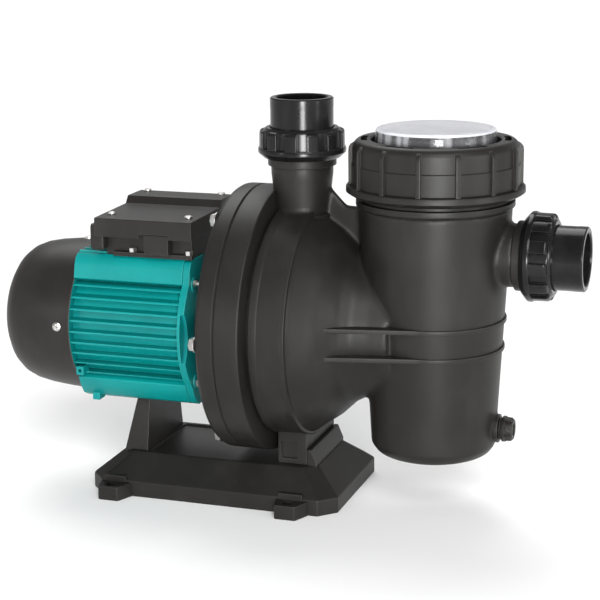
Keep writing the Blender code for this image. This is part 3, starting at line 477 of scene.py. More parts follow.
class Form:
    """A solid being shaped in the pump's own frame."""

    def __init__(self) -> None:
        self.bm = bmesh.new()

    @classmethod
    def lathe(cls, profile: Profile, axis: Axis, centre: Point = (0.0, 0.0), steps: int = 96,
              closed: bool = False) -> "Form":
        """Turn a profile about an axis.

        Args:
            profile: points given as (place along the axis, radius).
            axis: the axis turned about.
            centre: where the axis stands across it.
            steps: faces round the turn.
            closed: whether the last point joins the first.

        Returns:
            The turned form.
        """
        form = cls()
        middle = axis.point(0.0, *centre)
        verts = [form.bm.verts.new(middle + axis.point(along, radius)) for along, radius in profile]
        ends = verts[1:] + verts[:1] if closed else verts[1:]
        edges = [form.bm.edges.new(pair) for pair in zip(verts, ends)]
        bmesh.ops.spin(form.bm, geom=verts + edges, cent=middle, axis=axis.point(1.0), angle=FULL_TURN,
                       steps=steps, use_merge=True)
        return form.cleaned()

    @classmethod
    def sector(cls, profile: Profile, axis: Axis, centre: Point, middle_angle: float, span: float,
               steps: int = 4) -> "Form":
        """Sweep a closed profile of (along, radius) points through part of a turn, angles in radians."""
        form = cls()
        middle = axis.point(0.0, *centre)
        face = form.bm.faces.new([form.bm.verts.new(middle + axis.point(*point)) for point in profile])
        bmesh.ops.spin(form.bm, geom=[face, *face.edges, *face.verts], cent=middle, axis=axis.point(1.0),
                       angle=span, steps=steps)
        return form.cleaned().turned(middle_angle - span / 2, axis, centre)

    @classmethod
    def prism(cls, outline: Profile, start: float, end: float, axis: Axis) -> "Form":
        """Extrude an outline of (across, up) points along an axis."""
        form = cls()
        face = form.bm.faces.new([form.bm.verts.new(axis.point(start, *point)) for point in outline])
        made = bmesh.ops.extrude_face_region(form.bm, geom=[face])["geom"]
        top = [part for part in made if isinstance(part, bmesh.types.BMVert)]
        bmesh.ops.translate(form.bm, verts=top, vec=axis.point(end - start))
        return form.cleaned()

    @classmethod
    def block(cls, low: Sequence[float], high: Sequence[float], bevel: float = 0.0) -> "Form":
        """Return a box between two corners, with its edges rounded."""
        form = cls()
        size = Vector(high) - Vector(low)
        matrix = Matrix.Translation((Vector(high) + Vector(low)) / 2) @ Matrix.Diagonal((*size, 1.0))
        bmesh.ops.create_cube(form.bm, size=1.0, matrix=matrix)
        return form.bevelled(bevel) if bevel else form

    @classmethod
    def rod(cls, start: float, end: float, radius: float, axis: Axis, centre: Point = (0.0, 0.0),
            steps: int = 48) -> "Form":
        """Return a solid round bar."""
        return cls.lathe([(start, 0.0), (start, radius), (end, radius), (end, 0.0)], axis, centre, steps)

    def cleaned(self) -> "Form":
        """Merge doubles and turn the faces outwards."""
        bmesh.ops.remove_doubles(self.bm, verts=self.bm.verts, dist=MERGE_DISTANCE)
        bmesh.ops.recalc_face_normals(self.bm, faces=self.bm.faces)
        return self

    def bevelled(self, width: float, segments: int = 2, limit: float = 32.0) -> "Form":
        """Round the edges sharper than a limit in degrees."""
        sharp = [edge for edge in self.bm.edges
                 if len(edge.link_faces) == 2 and edge.calc_face_angle(0.0) > math.radians(limit)]
        bmesh.ops.bevel(self.bm, geom=sharp, offset=width, offset_type="OFFSET", affect="EDGES",
                        segments=segments, profile=0.5, material=-1, clamp_overlap=True)
        return self.cleaned()

    def turned(self, angle: float, axis: Axis, centre: Point = (0.0, 0.0)) -> "Form":
        """Turn the form about an axis."""
        bmesh.ops.rotate(self.bm, verts=self.bm.verts, cent=axis.point(0.0, *centre),
                         matrix=Matrix.Rotation(angle, 3, axis.value))
        return self

    def moved(self, offset: Sequence[float]) -> "Form":
        """Move the form."""
        bmesh.ops.translate(self.bm, verts=self.bm.verts, vec=Vector(offset))
        return self

    def joined(self, *others: "Form") -> "Form":
        """Take other forms in as separate shells."""
        for other in others:
            mesh = bpy.data.meshes.new("step")
            other.bm.to_mesh(mesh)
            self.bm.from_mesh(mesh)
            bpy.data.meshes.remove(mesh)
        return self

    def copied(self) -> "Form":
        """Return a copy."""
        return Form().joined(self)

    def repeated(self, angles: Iterable[float], axis: Axis, centre: Point = (0.0, 0.0)) -> "Form":
        """Return copies turned to each angle about an axis."""
        return Form().joined(*(self.copied().turned(angle, axis, centre) for angle in angles))

    def through(self, kind: str, **settings: object) -> "Form":
        """Pass the form through one modifier."""
        mesh = bpy.data.meshes.new("step")
        self.bm.to_mesh(mesh)
        item = bpy.data.objects.new("step", mesh)
        bpy.context.scene.collection.objects.link(item)
        modifier = item.modifiers.new("step", kind)
        for name, value in settings.items():
            setattr(modifier, name, value)
        shaped = bpy.data.meshes.new_from_object(item.evaluated_get(bpy.context.evaluated_depsgraph_get()))
        self.bm.clear()
        self.bm.from_mesh(shaped)
        bpy.data.objects.remove(item)
        bpy.data.meshes.remove(mesh)
        bpy.data.meshes.remove(shaped)
        return self

    def combined(self, merge: Merge, *tools: "Form") -> "Form":
        """Add other solids to the form or cut them out of it."""
        for tool in tools:
            mesh = bpy.data.meshes.new("tool")
            tool.bm.to_mesh(mesh)
            item = bpy.data.objects.new("tool", mesh)
            bpy.context.scene.collection.objects.link(item)
            self.through("BOOLEAN", operation=merge.value, solver="EXACT", use_self=False, object=item)
            bpy.data.objects.remove(item)
            bpy.data.meshes.remove(mesh)
        return self

    def plus(self, *tools: "Form") -> "Form":
        """Return the union with other solids."""
        return self.combined(Merge.UNION, *tools)

    def minus(self, *tools: "Form") -> "Form":
        """Return the form with other solids cut out."""
        return self.combined(Merge.DIFFERENCE, *tools)

    def blended(self, size: float, passes: int) -> "Form":
        """Draw one skin over overlapping solids and smooth it, so that they meet in fillets."""
        self.through("REMESH", mode="VOXEL", voxel_size=size, adaptivity=0.0)
        for _ in range(passes):
            bmesh.ops.smooth_vert(self.bm, verts=self.bm.verts, factor=0.5, use_axis_x=True, use_axis_y=True,
                                  use_axis_z=True)
        return self


class SubAssembly:
    """A group of pieces that are made and dressed together.

    Args:
        layout: the pump's main axes.
    """

    def __init__(self, layout: Layout) -> None:
        self.layout = layout

    def build(self) -> None:
        """Make every piece."""
        raise NotImplementedError

    def piece(self, name: str, form: Form, finish: Finish, body: str, *replaced: str,
              sharp: float = 38.0) -> bpy.types.Object:
        """Turn a form into a finished piece.

        Args:
            name: the piece's name.
            form: its shape in the pump's frame.
            finish: its surface.
            body: the CAD body it rides on.
            replaced: the CAD nodes it stands for.
            sharp: edges over this angle in degrees stay crisp.

        Returns:
            The new object.
        """
        form.moved(self.layout.origin)
        mesh = bpy.data.meshes.new(name)
        form.bm.to_mesh(mesh)
        form.bm.free()
        item = bpy.data.objects.new(name, mesh)
        bpy.context.scene.collection.objects.link(item)
        mesh.materials.clear()
        mesh.materials.append(finish.material())
        mesh.polygons.foreach_set("material_index", [0] * len(mesh.polygons))
        mesh.shade_smooth()
        mesh.set_sharp_from_angle(angle=math.radians(sharp))
        item.modifiers.new("even_shading", "WEIGHTED_NORMAL").keep_sharp = True
        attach(item, body)
        if replaced:
            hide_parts(*replaced)
        LOG.info("%s: %d faces on %s", name, len(mesh.polygons), body)
        return item


def evenly(count: int, start: float = 0.0) -> list[float]:
    """Return angles spaced evenly round a full turn."""
    return [start + FULL_TURN * index / count for index in range(count)]


def round_places(count: int, radius: float, centre: Point) -> list[Point]:
    """Return points (y, z) evenly round a centre, the first towards -Y."""
    return [(centre[0] - radius * math.cos(angle), centre[1] + radius * math.sin(angle))
            for angle in evenly(count, 0.0)]


def pan_screw(top: float, radius: float, height: float, axis: Axis, centre: Point) -> Form:
    """Return a cross-recess pan head standing on a plane."""
    head = Form.lathe([(top, 0.0), (top, radius), (top + height * 0.45, radius * 0.97),
                       (top + height * 0.8, radius * 0.75), (top + height, radius * 0.35),
                       (top + height, 0.0)], axis, centre, 32)
    arm, wide, sink = radius * 0.55, radius * 0.14, top + height * 0.5
    along = sorted((sink, top + height * 1.5))
    for first, second in ((arm, wide), (wide, arm)):
        head.minus(Form.block(axis.point(along[0], centre[0] - first, centre[1] - second),
                              axis.point(along[1], centre[0] + first, centre[1] + second)))
    return head


def hex_head(start: float, across: float, height: float, axis: Axis, centre: Point) -> Form:
    """Return a chamfered six-sided head or nut from start towards +axis, or -axis for a negative height."""
    chamfer = 0.12 * height
    return Form.lathe([(start, 0.0), (start, across - abs(chamfer) * 0.5), (start + chamfer, across),
                       (start + height - chamfer, across), (start + height, across - abs(chamfer) * 1.2),
                       (start + height, 0.0)], axis, centre, 6)


@dataclass
class PumpBody(SubAssembly):
    """Volute, inlet neck, strainer pot and ports as one moulding."""

    layout: Layout
    flange_span: Point = (-0.0457, -0.021)
    flange_radius: float = 0.133
    volute_radius: float = 0.115
    groove_radius: float = 0.1095
    lip_span: Point = (-0.0172, -0.0112)
    lip_root: float = 0.106
    shoulder: float = 0.0170
    neck_x: float = 0.058
    neck_radius: float = 0.079
    pot_span: Point = (-0.114, 0.131)
    pot_foot: float = 0.061
    pot_head: float = 0.0738
    collar_radius: float = 0.0762
    rim_z: float = 0.181
    port_radius: float = 0.031
    port_collar: float = 0.0335
    suction_x: float = 0.2225
    discharge_z: float = 0.173
    drain_x: float = 0.2005
    skin_size: float = 0.0020
    skin_passes: int = 3
    band_rise: float = 0.0018
    band_half: float = 0.0022
    band_heights: Point = (0.022, -0.006)
    thread_count: int = 4
    thread_start: float = 0.1470
    thread_pitch: float = 0.0075

    def build(self) -> None:
        """Make the moulding."""
        skin = self.skin()
        solid = skin.plus(self.flange(), self.collars(), self.bands(), self.foot(), self.thread())
        self.carve(solid)
        self.piece("body_moulding", solid, WET_PLASTIC, "pump", "pump_body")

    def skin(self) -> Form:
        """Return the smooth skin over volute, neck, pot, ports and web."""
        start = self.flange_span[1] - 0.006
        casing = [(start, 0.0), (start, self.groove_radius), (self.lip_span[0] + 0.001, self.groove_radius),
                  (self.lip_span[0] + 0.001, self.volute_radius),
                  (self.shoulder, self.volute_radius - 0.0012),
                  (self.shoulder + 0.0015, 0.1105), (0.043, 0.0935), (self.neck_x, self.neck_radius),
                  (0.070, 0.0725), (0.086, 0.0690), (0.104, 0.0665), (0.104, 0.0)]
        low, high = self.pot_span
        pot = [(low, 0.0), (low, self.pot_foot - 0.012), (low + 0.003, self.pot_foot - 0.005),
               (low + 0.010, self.pot_foot), (high, self.pot_head), (high, 0.0)]
        neck = [(0.060, 0.0), (0.060, 0.0250), (0.121, 0.0262), (0.158, 0.0305), (0.167, 0.0305),
                (0.167, 0.0)]
        web = [(0.008, 0.100), (0.020, 0.152), (0.030, 0.143), (0.045, 0.127), (0.080, 0.125),
               (0.080, 0.050), (0.008, 0.050)]
        port_start = self.layout.pot_x + 0.045
        form = Form.lathe(casing, Axis.X, self.layout.casing, 144)
        form.joined(Form.lathe(pot, Axis.Z, self.layout.pot, 128), Form.lathe(neck, Axis.Z, steps=64),
                    Form.rod(port_start, self.suction_x - 0.008, self.port_radius - 0.0005, Axis.X,
                             (0.0, self.layout.suction_z), 64),
                    Form.rod(port_start - 0.010, self.drain_x - 0.001, 0.0130, Axis.X,
                             (0.0, self.layout.drain_z), 48),
                    Form.prism(web, -0.0034, 0.0034, Axis.Y))
        return form.blended(self.skin_size, self.skin_passes)

    def flange(self) -> Form:
        """Return the bolted flange, the volute's raised lip and the brow at its shoulder."""
        left, right = self.flange_span
        ring = Form.lathe([(left, 0.090), (left, self.flange_radius), (right, self.flange_radius),
                           (right, 0.090)], Axis.X, self.layout.casing, 180, True).bevelled(0.0016, 3)
        start, end = self.lip_span
        root, outer, edge = self.lip_root, self.volute_radius, self.shoulder
        lip = Form.lathe([(start, root), (start, outer + 0.0006), (end, outer + 0.0002),
                          (end + 0.006, 0.1135), (end + 0.006, root)], Axis.X, self.layout.casing, 180, True)
        brow = Form.lathe([(edge - 0.0030, root), (edge - 0.0030, outer - 0.0004),
                           (edge + 0.0006, outer - 0.0006), (edge + 0.0014, outer - 0.0026),
                           (edge + 0.0014, root)], Axis.X, self.layout.casing, 180, True)
        return ring.plus(lip.bevelled(0.0008)).joined(brow.bevelled(0.0005))

    def collars(self) -> Form:
        """Return the pot's collar and the ports' collars and spigots."""
        top = [(0.1290, 0.0600), (0.1290, 0.0722), (0.1312, 0.0738), (0.1326, self.collar_radius),
               (0.138, self.collar_radius), (0.138, 0.0710), (self.rim_z, 0.0710), (self.rim_z, 0.0600)]
        form = Form.lathe(top, Axis.Z, self.layout.pot, 144, True).bevelled(0.0008)
        for axis, centre, nut in ((Axis.Z, (0.0, 0.0), self.discharge_z),
                                  (Axis.X, (0.0, self.layout.suction_z), self.suction_x)):
            low, high = nut - 0.0075, nut + 0.013
            collar = [(low, 0.018), (low, self.port_collar), (nut - GAP, self.port_collar),
                      (nut - GAP, 0.0322), (high, 0.0322), (high, 0.018)]
            form.joined(Form.lathe(collar, axis, centre, 96, True).bevelled(0.0008))
        saddle = [(0.1000, 0.018), (0.1000, 0.0310), (0.1185, 0.0295), (0.1195, 0.0272), (0.1195, 0.018)]
        drain = [(self.drain_x - 0.004, 0.004), (self.drain_x - 0.004, 0.0140), (self.drain_x, 0.0140),
                 (self.drain_x, 0.004)]
        return form.joined(Form.lathe(saddle, Axis.Z, steps=96, closed=True).bevelled(0.0006),
                           Form.lathe(drain, Axis.X, (0.0, self.layout.drain_z), 48, True).bevelled(0.0006))

    def thread(self) -> Form:
        """Return the ridges that the lock ring and nuts turn on."""
        form = Form()
        for index in range(self.thread_count):
            height = self.thread_start + self.thread_pitch * index
            ridge = [(height, 0.0700), (height + 0.0008, 0.0722), (height + 0.0022, 0.0722),
                     (height + 0.0030, 0.0700)]
            form.joined(Form.lathe(ridge, Axis.Z, self.layout.pot, 96, True))
        return form

    def bands(self) -> Form:
        """Return the two stiffening bands from the volute round the pot."""
        form = Form()
        low, high = self.pot_span
        steps = 36
        for height in self.band_heights:
            share = (height - low) / (high - low)
            reach = self.pot_foot + (self.pot_head - self.pot_foot) * share + self.band_rise
            arc = [(self.layout.pot_x + reach * math.cos(angle), reach * math.sin(angle))
                   for angle in (math.pi / 2 - math.pi * step / steps for step in range(steps + 1))]
            outline = [(0.030, 0.0900)] + arc + [(0.030, -0.0900)]
            band = Form.prism(outline, height - self.band_half, height + self.band_half, Axis.Z)
            form.joined(band.bevelled(0.0008))
        return form

    def foot(self) -> Form:
        """Return the volute's foot with its recessed front and ledge."""
        foot = Form.block((-0.013, -0.045, -0.1277), (0.017, 0.045, -0.094), 0.0010)
        recess = Form.block((-0.0095, -0.060, -0.1225), (0.0075, -0.0420, -0.105), 0.0006)
        return foot.minus(recess, recess.copied().moved((0.0, 0.102, 0.0)))

    def carve(self, solid: Form) -> None:
        """Cut the water ways."""
        casing, pot_centre = self.layout.casing, self.layout.pot
        cavity = [(-0.060, 0.0), (-0.060, 0.105), (0.008, 0.104), (0.018, 0.097), (0.018, 0.0)]
        inlet = [(0.026, 0.0), (0.026, 0.096), (0.044, 0.083), (0.058, 0.070), (0.075, 0.059),
                 (0.108, 0.056), (0.108, 0.0)]
        pot = [(-0.104, 0.0), (-0.104, 0.052), (0.110, 0.064), (0.200, 0.064), (0.200, 0.0)]
        start = self.layout.pot_x + 0.040
        solid.minus(Form.lathe(cavity, Axis.X, casing, 96), Form.lathe(inlet, Axis.X, casing, 96),
                    Form.rod(0.010, 0.034, 0.034, Axis.X), Form.lathe(pot, Axis.Z, pot_centre, 120),
                    Form.rod(0.075, 0.200, 0.0205, Axis.Z),
                    Form.rod(start, 0.250, 0.022, Axis.X, (0.0, self.layout.suction_z), 64),
                    Form.rod(start, 0.215, 0.0075, Axis.X, (0.0, self.layout.drain_z), 32))


@dataclass
class LidGroup(SubAssembly):
    """Clear lid and the ribbed lock ring that holds it."""

    layout: Layout
    ring_span: Point = (0.142, 0.196)
    ring_radius: float = 0.0794
    rib_radius: float = 0.0832
    rib_count: int = 14
    rib_phase: float = math.radians(15.8)
    rib_width: float = math.radians(3.3)
    slot_count: int = 6

    def build(self) -> None:
        """Make the lid and the ring."""
        self.piece("lock_ring_moulding", self.ring(), WET_PLASTIC, "lock_ring", "lid_lock_ring")
        self.piece("lid_moulding", self.lid(), CLEAR_LID, "lid_set", "lid")

    def ring(self) -> Form:
        """Return the lock ring: rounded top, stepped wall, ribs, flange and lip."""
        low, high = self.ring_span
        wall = self.ring_radius
        section = [(high - 0.0012, 0.0620), (high - 0.0002, 0.0630), (high, 0.0645), (high, 0.0722),
                   (high - 0.0006, 0.0746), (high - 0.0022, 0.0768), (high - 0.0046, 0.0784),
                   (high - 0.0075, wall), (0.1738, wall), (0.1728, wall + 0.0009), (0.1528, wall + 0.0009),
                   (0.1518, 0.0848), (0.1508, 0.0856), (0.1466, 0.0857), (0.1452, 0.0838), (low, 0.0782),
                   (low, 0.0725), (0.1888, 0.0725), (0.1888, 0.0620)]
        ring = Form.lathe(section, Axis.Z, self.layout.pot, 168, True)
        rib = [(0.1512, 0.0770), (0.1512, self.rib_radius), (0.1845, self.rib_radius), (0.1880, 0.0828),
               (0.1905, 0.0812), (0.1925, 0.0785), (0.1930, 0.0760)]
        blade = Form.sector(rib, Axis.Z, self.layout.pot, 0.0, self.rib_width, 3).bevelled(0.0008)
        turn = evenly(self.rib_count, self.rib_phase)
        slot = Form.sector([(high - 0.0045, 0.0655), (high + 0.002, 0.0655), (high + 0.002, 0.0715),
                            (high - 0.0045, 0.0715)], Axis.Z, self.layout.pot, 0.0, math.radians(26), 10)
        ring.minus(slot.repeated(evenly(self.slot_count, math.radians(14)), Axis.Z, self.layout.pot))
        return ring.joined(blade.repeated(turn, Axis.Z, self.layout.pot))

    def lid(self) -> Form:
        """Return the domed window with its rim line and flange."""
        section = [(0.2066, 0.0), (0.2066, 0.0300), (0.2064, 0.0505), (0.2058, 0.0510), (0.2058, 0.0520),
                   (0.2063, 0.0525), (0.2060, 0.0550), (0.2052, 0.0566), (0.2038, 0.0576), (0.2020, 0.0578),
                   (0.1900, 0.0580), (0.1885, 0.0590), (0.1885, 0.0700), (0.1845, 0.0700), (0.1845, 0.0535),
                   (0.2000, 0.0533), (0.2016, 0.0520), (0.2024, 0.0495), (0.2026, 0.0)]
        return Form.lathe(section, Axis.Z, self.layout.pot, 144)


@dataclass
class Basket(SubAssembly):
    """Strainer basket with rows of slots, a rim and a lifting handle."""

    layout: Layout
    bottom: float = -0.1037
    top: float = 0.056
    bottom_radius: float = 0.0500
    top_radius: float = 0.0570
    wall: float = 0.0018
    columns: int = 36
    rows: int = 5

    def build(self) -> None:
        """Make the basket."""
        form = self.cage().joined(self.rim(), self.handle())
        self.piece("basket_moulding", form, BASKET_PLASTIC, "basket", "strainer_basket")

    def cage(self) -> Form:
        """Return the slotted wall and floor, with thickness."""
        levels = [(self.bottom + self.wall, 0.0), (self.bottom + self.wall, self.bottom_radius - 0.006),
                  (self.bottom + 0.006, self.bottom_radius)]
        height = self.top - self.bottom - 0.008
        for row in range(self.rows):
            for share in ((row + 0.12) / self.rows, (row + 0.88) / self.rows):
                radius = self.bottom_radius + (self.top_radius - self.bottom_radius) * share
                levels.append((self.bottom + 0.006 + height * share, radius))
        levels.append((self.top - 0.001, self.top_radius))
        wall = Form.lathe(levels, Axis.Z, self.layout.pot, self.columns * 3)
        gone = []
        middle = Vector((self.layout.pot_x, 0.0, 0.0))
        for face in wall.bm.faces:
            centre = face.calc_center_median() - middle
            share = (centre.z - self.bottom - 0.006) / height * self.rows
            angle = math.atan2(centre.y, centre.x) / FULL_TURN * self.columns * 3
            tall = 0.12 < share % 1.0 < 0.88 and 0.0 < share < self.rows
            if tall and int(round(angle - 0.5)) % 3 == 1:
                gone.append(face)
        bmesh.ops.delete(wall.bm, geom=gone, context="FACES")
        return wall.through("SOLIDIFY", thickness=self.wall, offset=-1.0)

    def rim(self) -> Form:
        """Return the turned-out rim."""
        radius = self.top_radius
        section = [(self.top - 0.003, radius - 0.002), (self.top - 0.003, radius + 0.0020),
                   (self.top, radius + 0.0020), (self.top, radius - 0.002)]
        return Form.lathe(section, Axis.Z, self.layout.pot, 96, True).bevelled(0.0005)

    def handle(self) -> Form:
        """Return the arched handle."""
        outer, inner, steps = self.top_radius - 0.0002, self.top_radius - 0.005, 40
        height = 0.150 - self.top_radius
        arch = [math.pi * step / steps for step in range(steps + 1)]
        outline = ([(outer * math.cos(a), height + outer * math.sin(a)) for a in arch]
                   + [(-outer, self.top - 0.001), (-inner, self.top - 0.001)]
                   + [(inner * math.cos(a), height + inner * math.sin(a)) for a in reversed(arch)]
                   + [(inner, self.top - 0.001), (outer, self.top - 0.001)])
        pot_x = self.layout.pot_x
        return Form.prism(outline, pot_x - 0.004, pot_x + 0.004, Axis.X).bevelled(0.0009)


@dataclass
class Union(SubAssembly):
    """A pipe union: lobed nut and solvent-socket tail."""

    layout: Layout
    port: str = "suction"
    axis: Axis = Axis.X
    centre: Point = (0.0, 0.0)
    start: float = 0.0
    lobe_phase: float = 0.0
    length: float = 0.0295
    lobes: int = 12
    flange_radius: float = 0.0432
    body_radius: float = 0.0386
    lobe_radius: float = 0.0418
    tail_radius: float = 0.031
    socket_radius: float = 0.0251

    def build(self) -> None:
        """Make the nut and the tail."""
        self.piece(f"{self.port}_nut_moulding", self.nut(), UNION_PLASTIC, f"{self.port}_nut",
                   f"{self.port}_union_nut")
        self.piece(f"{self.port}_tail_moulding", self.tail(), UNION_PLASTIC, f"{self.port}_tail",
                   f"{self.port}_union_tail")

    def nut(self) -> Form:
        """Return the nut with its grip lobes."""
        start, end = self.start, self.start + self.length
        section = [(start, 0.0345), (start, 0.0372), (start + 0.0035, 0.0412), (start + 0.0055, 0.0430),
                   (start + 0.0085, self.flange_radius), (start + 0.0102, 0.0424),
                   (start + 0.0106, self.body_radius), (end - 0.0034, self.body_radius - 0.0004),
                   (end - 0.0018, 0.0374), (end, 0.0352), (end, 0.0318), (start + 0.0218, 0.0318),
                   (start + 0.0218, 0.0345)]
        nut = Form.lathe(section, self.axis, self.centre, 144, True)
        lobe = [(start + 0.0095, 0.0370), (start + 0.0095, self.lobe_radius + 0.0003),
                (end - 0.0045, self.lobe_radius), (end - 0.0026, self.lobe_radius - 0.0014),
                (end - 0.0016, 0.0370)]
        grip = Form.sector(lobe, self.axis, self.centre, 0.0, math.radians(17), 5).bevelled(0.0010, 3)
        return nut.joined(grip.repeated(evenly(self.lobes, self.lobe_phase), self.axis, self.centre))

    def tail(self) -> Form:
        """Return the tail with its flange, stop shoulder and chamfered socket."""
        start, end = self.start, self.start + 0.0585
        section = [(start + 0.0155, 0.022), (start + 0.0155, 0.0338), (start + 0.0215, 0.0338),
                   (start + 0.0215, self.tail_radius - 0.0002), (end - 0.0100, self.tail_radius - 0.0002),
                   (end - 0.0092, self.tail_radius), (end - 0.0012, self.tail_radius),
                   (end, self.tail_radius - 0.0012), (end, self.socket_radius + 0.0012),
                   (end - 0.0014, self.socket_radius), (end - 0.030, self.socket_radius),
                   (end - 0.030, 0.022)]
        return Form.lathe(section, self.axis, self.centre, 120, True)


@dataclass
class DrainPlug(SubAssembly):
    """Drain plug with a fluted head and a socket."""

    layout: Layout
    face_x: float = 0.2005

    def build(self) -> None:
        """Make the plug."""
        centre = (0.0, self.layout.drain_z)
        head = self.face_x + 0.0028
        section = [(self.face_x - 0.0125, 0.0), (self.face_x - 0.0125, 0.0058),
                   (self.face_x - 0.0115, 0.0068), (head, 0.0068), (head, 0.0120),
                   (head + 0.0008, 0.0126), (head + 0.0034, 0.0126),
                   (head + 0.0042, 0.0108), (head + 0.0102, 0.0103), (head + 0.0110, 0.0095),
                   (head + 0.0110, 0.0065), (head + 0.0040, 0.0062), (head + 0.0040, 0.0)]
        plug = Form.lathe(section, Axis.X, centre, 72)
        flute = Form.sector([(head + 0.0035, 0.0095), (head + 0.0035, 0.0118), (head + 0.0095, 0.0114),
                             (head + 0.0100, 0.0095)], Axis.X, centre, 0.0, math.radians(16), 3)
        plug.joined(flute.bevelled(0.0004).repeated(evenly(10), Axis.X, centre))
        self.piece("drain_plug_moulding", plug, WET_PLASTIC, "drain_plug_body", "drain_plug")


@dataclass
class SealPlate(SubAssembly):
    """Seal plate with a ribbed back, a windowed hub and the casing bolts."""

    layout: Layout
    span: Point = (-0.065, -0.046)
    radius: float = 0.133
    bolt_circle: float = 0.1245
    bolt_count: int = 6
    rib_count: int = 18

    def build(self) -> None:
        """Make the plate and its bolts."""
        self.piece("seal_plate_moulding", self.plate(), WET_PLASTIC, "pump", "seal_plate")
        left = self.span[0] - GAP
        for index, centre in enumerate(round_places(self.bolt_count, self.bolt_circle, self.layout.casing)):
            bolt = hex_head(left - 0.0012, 0.0064, -0.0052, Axis.X, centre)
            washer = Form.lathe([(left - 0.0013, 0.0), (left - 0.0013, 0.0078), (left, 0.0080), (left, 0.0)],
                                Axis.X, centre, 32)
            shank = Form.rod(left - 0.0002, -0.0255, 0.0034, Axis.X, centre, 24)
            self.piece(f"casing_bolt_{index + 1}_turned", bolt.joined(washer, shank), ZINC, "pump",
                       f"casing_bolt_{index + 1}")

    def plate(self) -> Form:
        """Return the disc, recess, ribs and hub."""
        left, right = self.span
        disc = [(left, 0.0090), (left, self.radius - 0.0045), (left + 0.0012, self.radius - 0.0018),
                (left + 0.0036, self.radius - 0.0003), (left + 0.0055, self.radius),
                (right - 0.0015, self.radius), (right, self.radius - 0.0015), (right, 0.1032),
                (-0.040, 0.1026), (-0.040, 0.0090)]
        plate = Form.lathe(disc, Axis.X, self.layout.casing, 180, True)
        recess = Form.lathe([(left - 0.005, 0.0845), (left - 0.005, 0.1165), (-0.0535, 0.1165),
                             (-0.0535, 0.0845)], Axis.X, self.layout.casing, 120, True)
        hub = Form.lathe([(-0.0917, 0.0580), (-0.0917, 0.0655), (-0.0900, 0.0662), (-0.062, 0.0675),
                          (-0.062, 0.0572)], Axis.X, (0.0, 0.0), 96, True)
        window = Form.block((-0.088, -0.090, -0.022), (-0.068, 0.090, 0.022), 0.003)
        core = Form.rod(left - 0.005, -0.0555, 0.0560, Axis.X, steps=72)
        rise = self.layout.casing_rise
        rib = Form.block((left + 0.0015, 0.083, rise - 0.0012), (-0.0525, 0.118, rise + 0.0012))
        seat = Form.rod(-0.0480, -0.035, 0.0145, Axis.X, steps=48)
        plate.minus(recess, core, seat)
        plate.plus(hub.minus(window))
        ribs = rib.repeated(evenly(self.rib_count, math.radians(10)), Axis.X, self.layout.casing)
        return plate.joined(ribs)


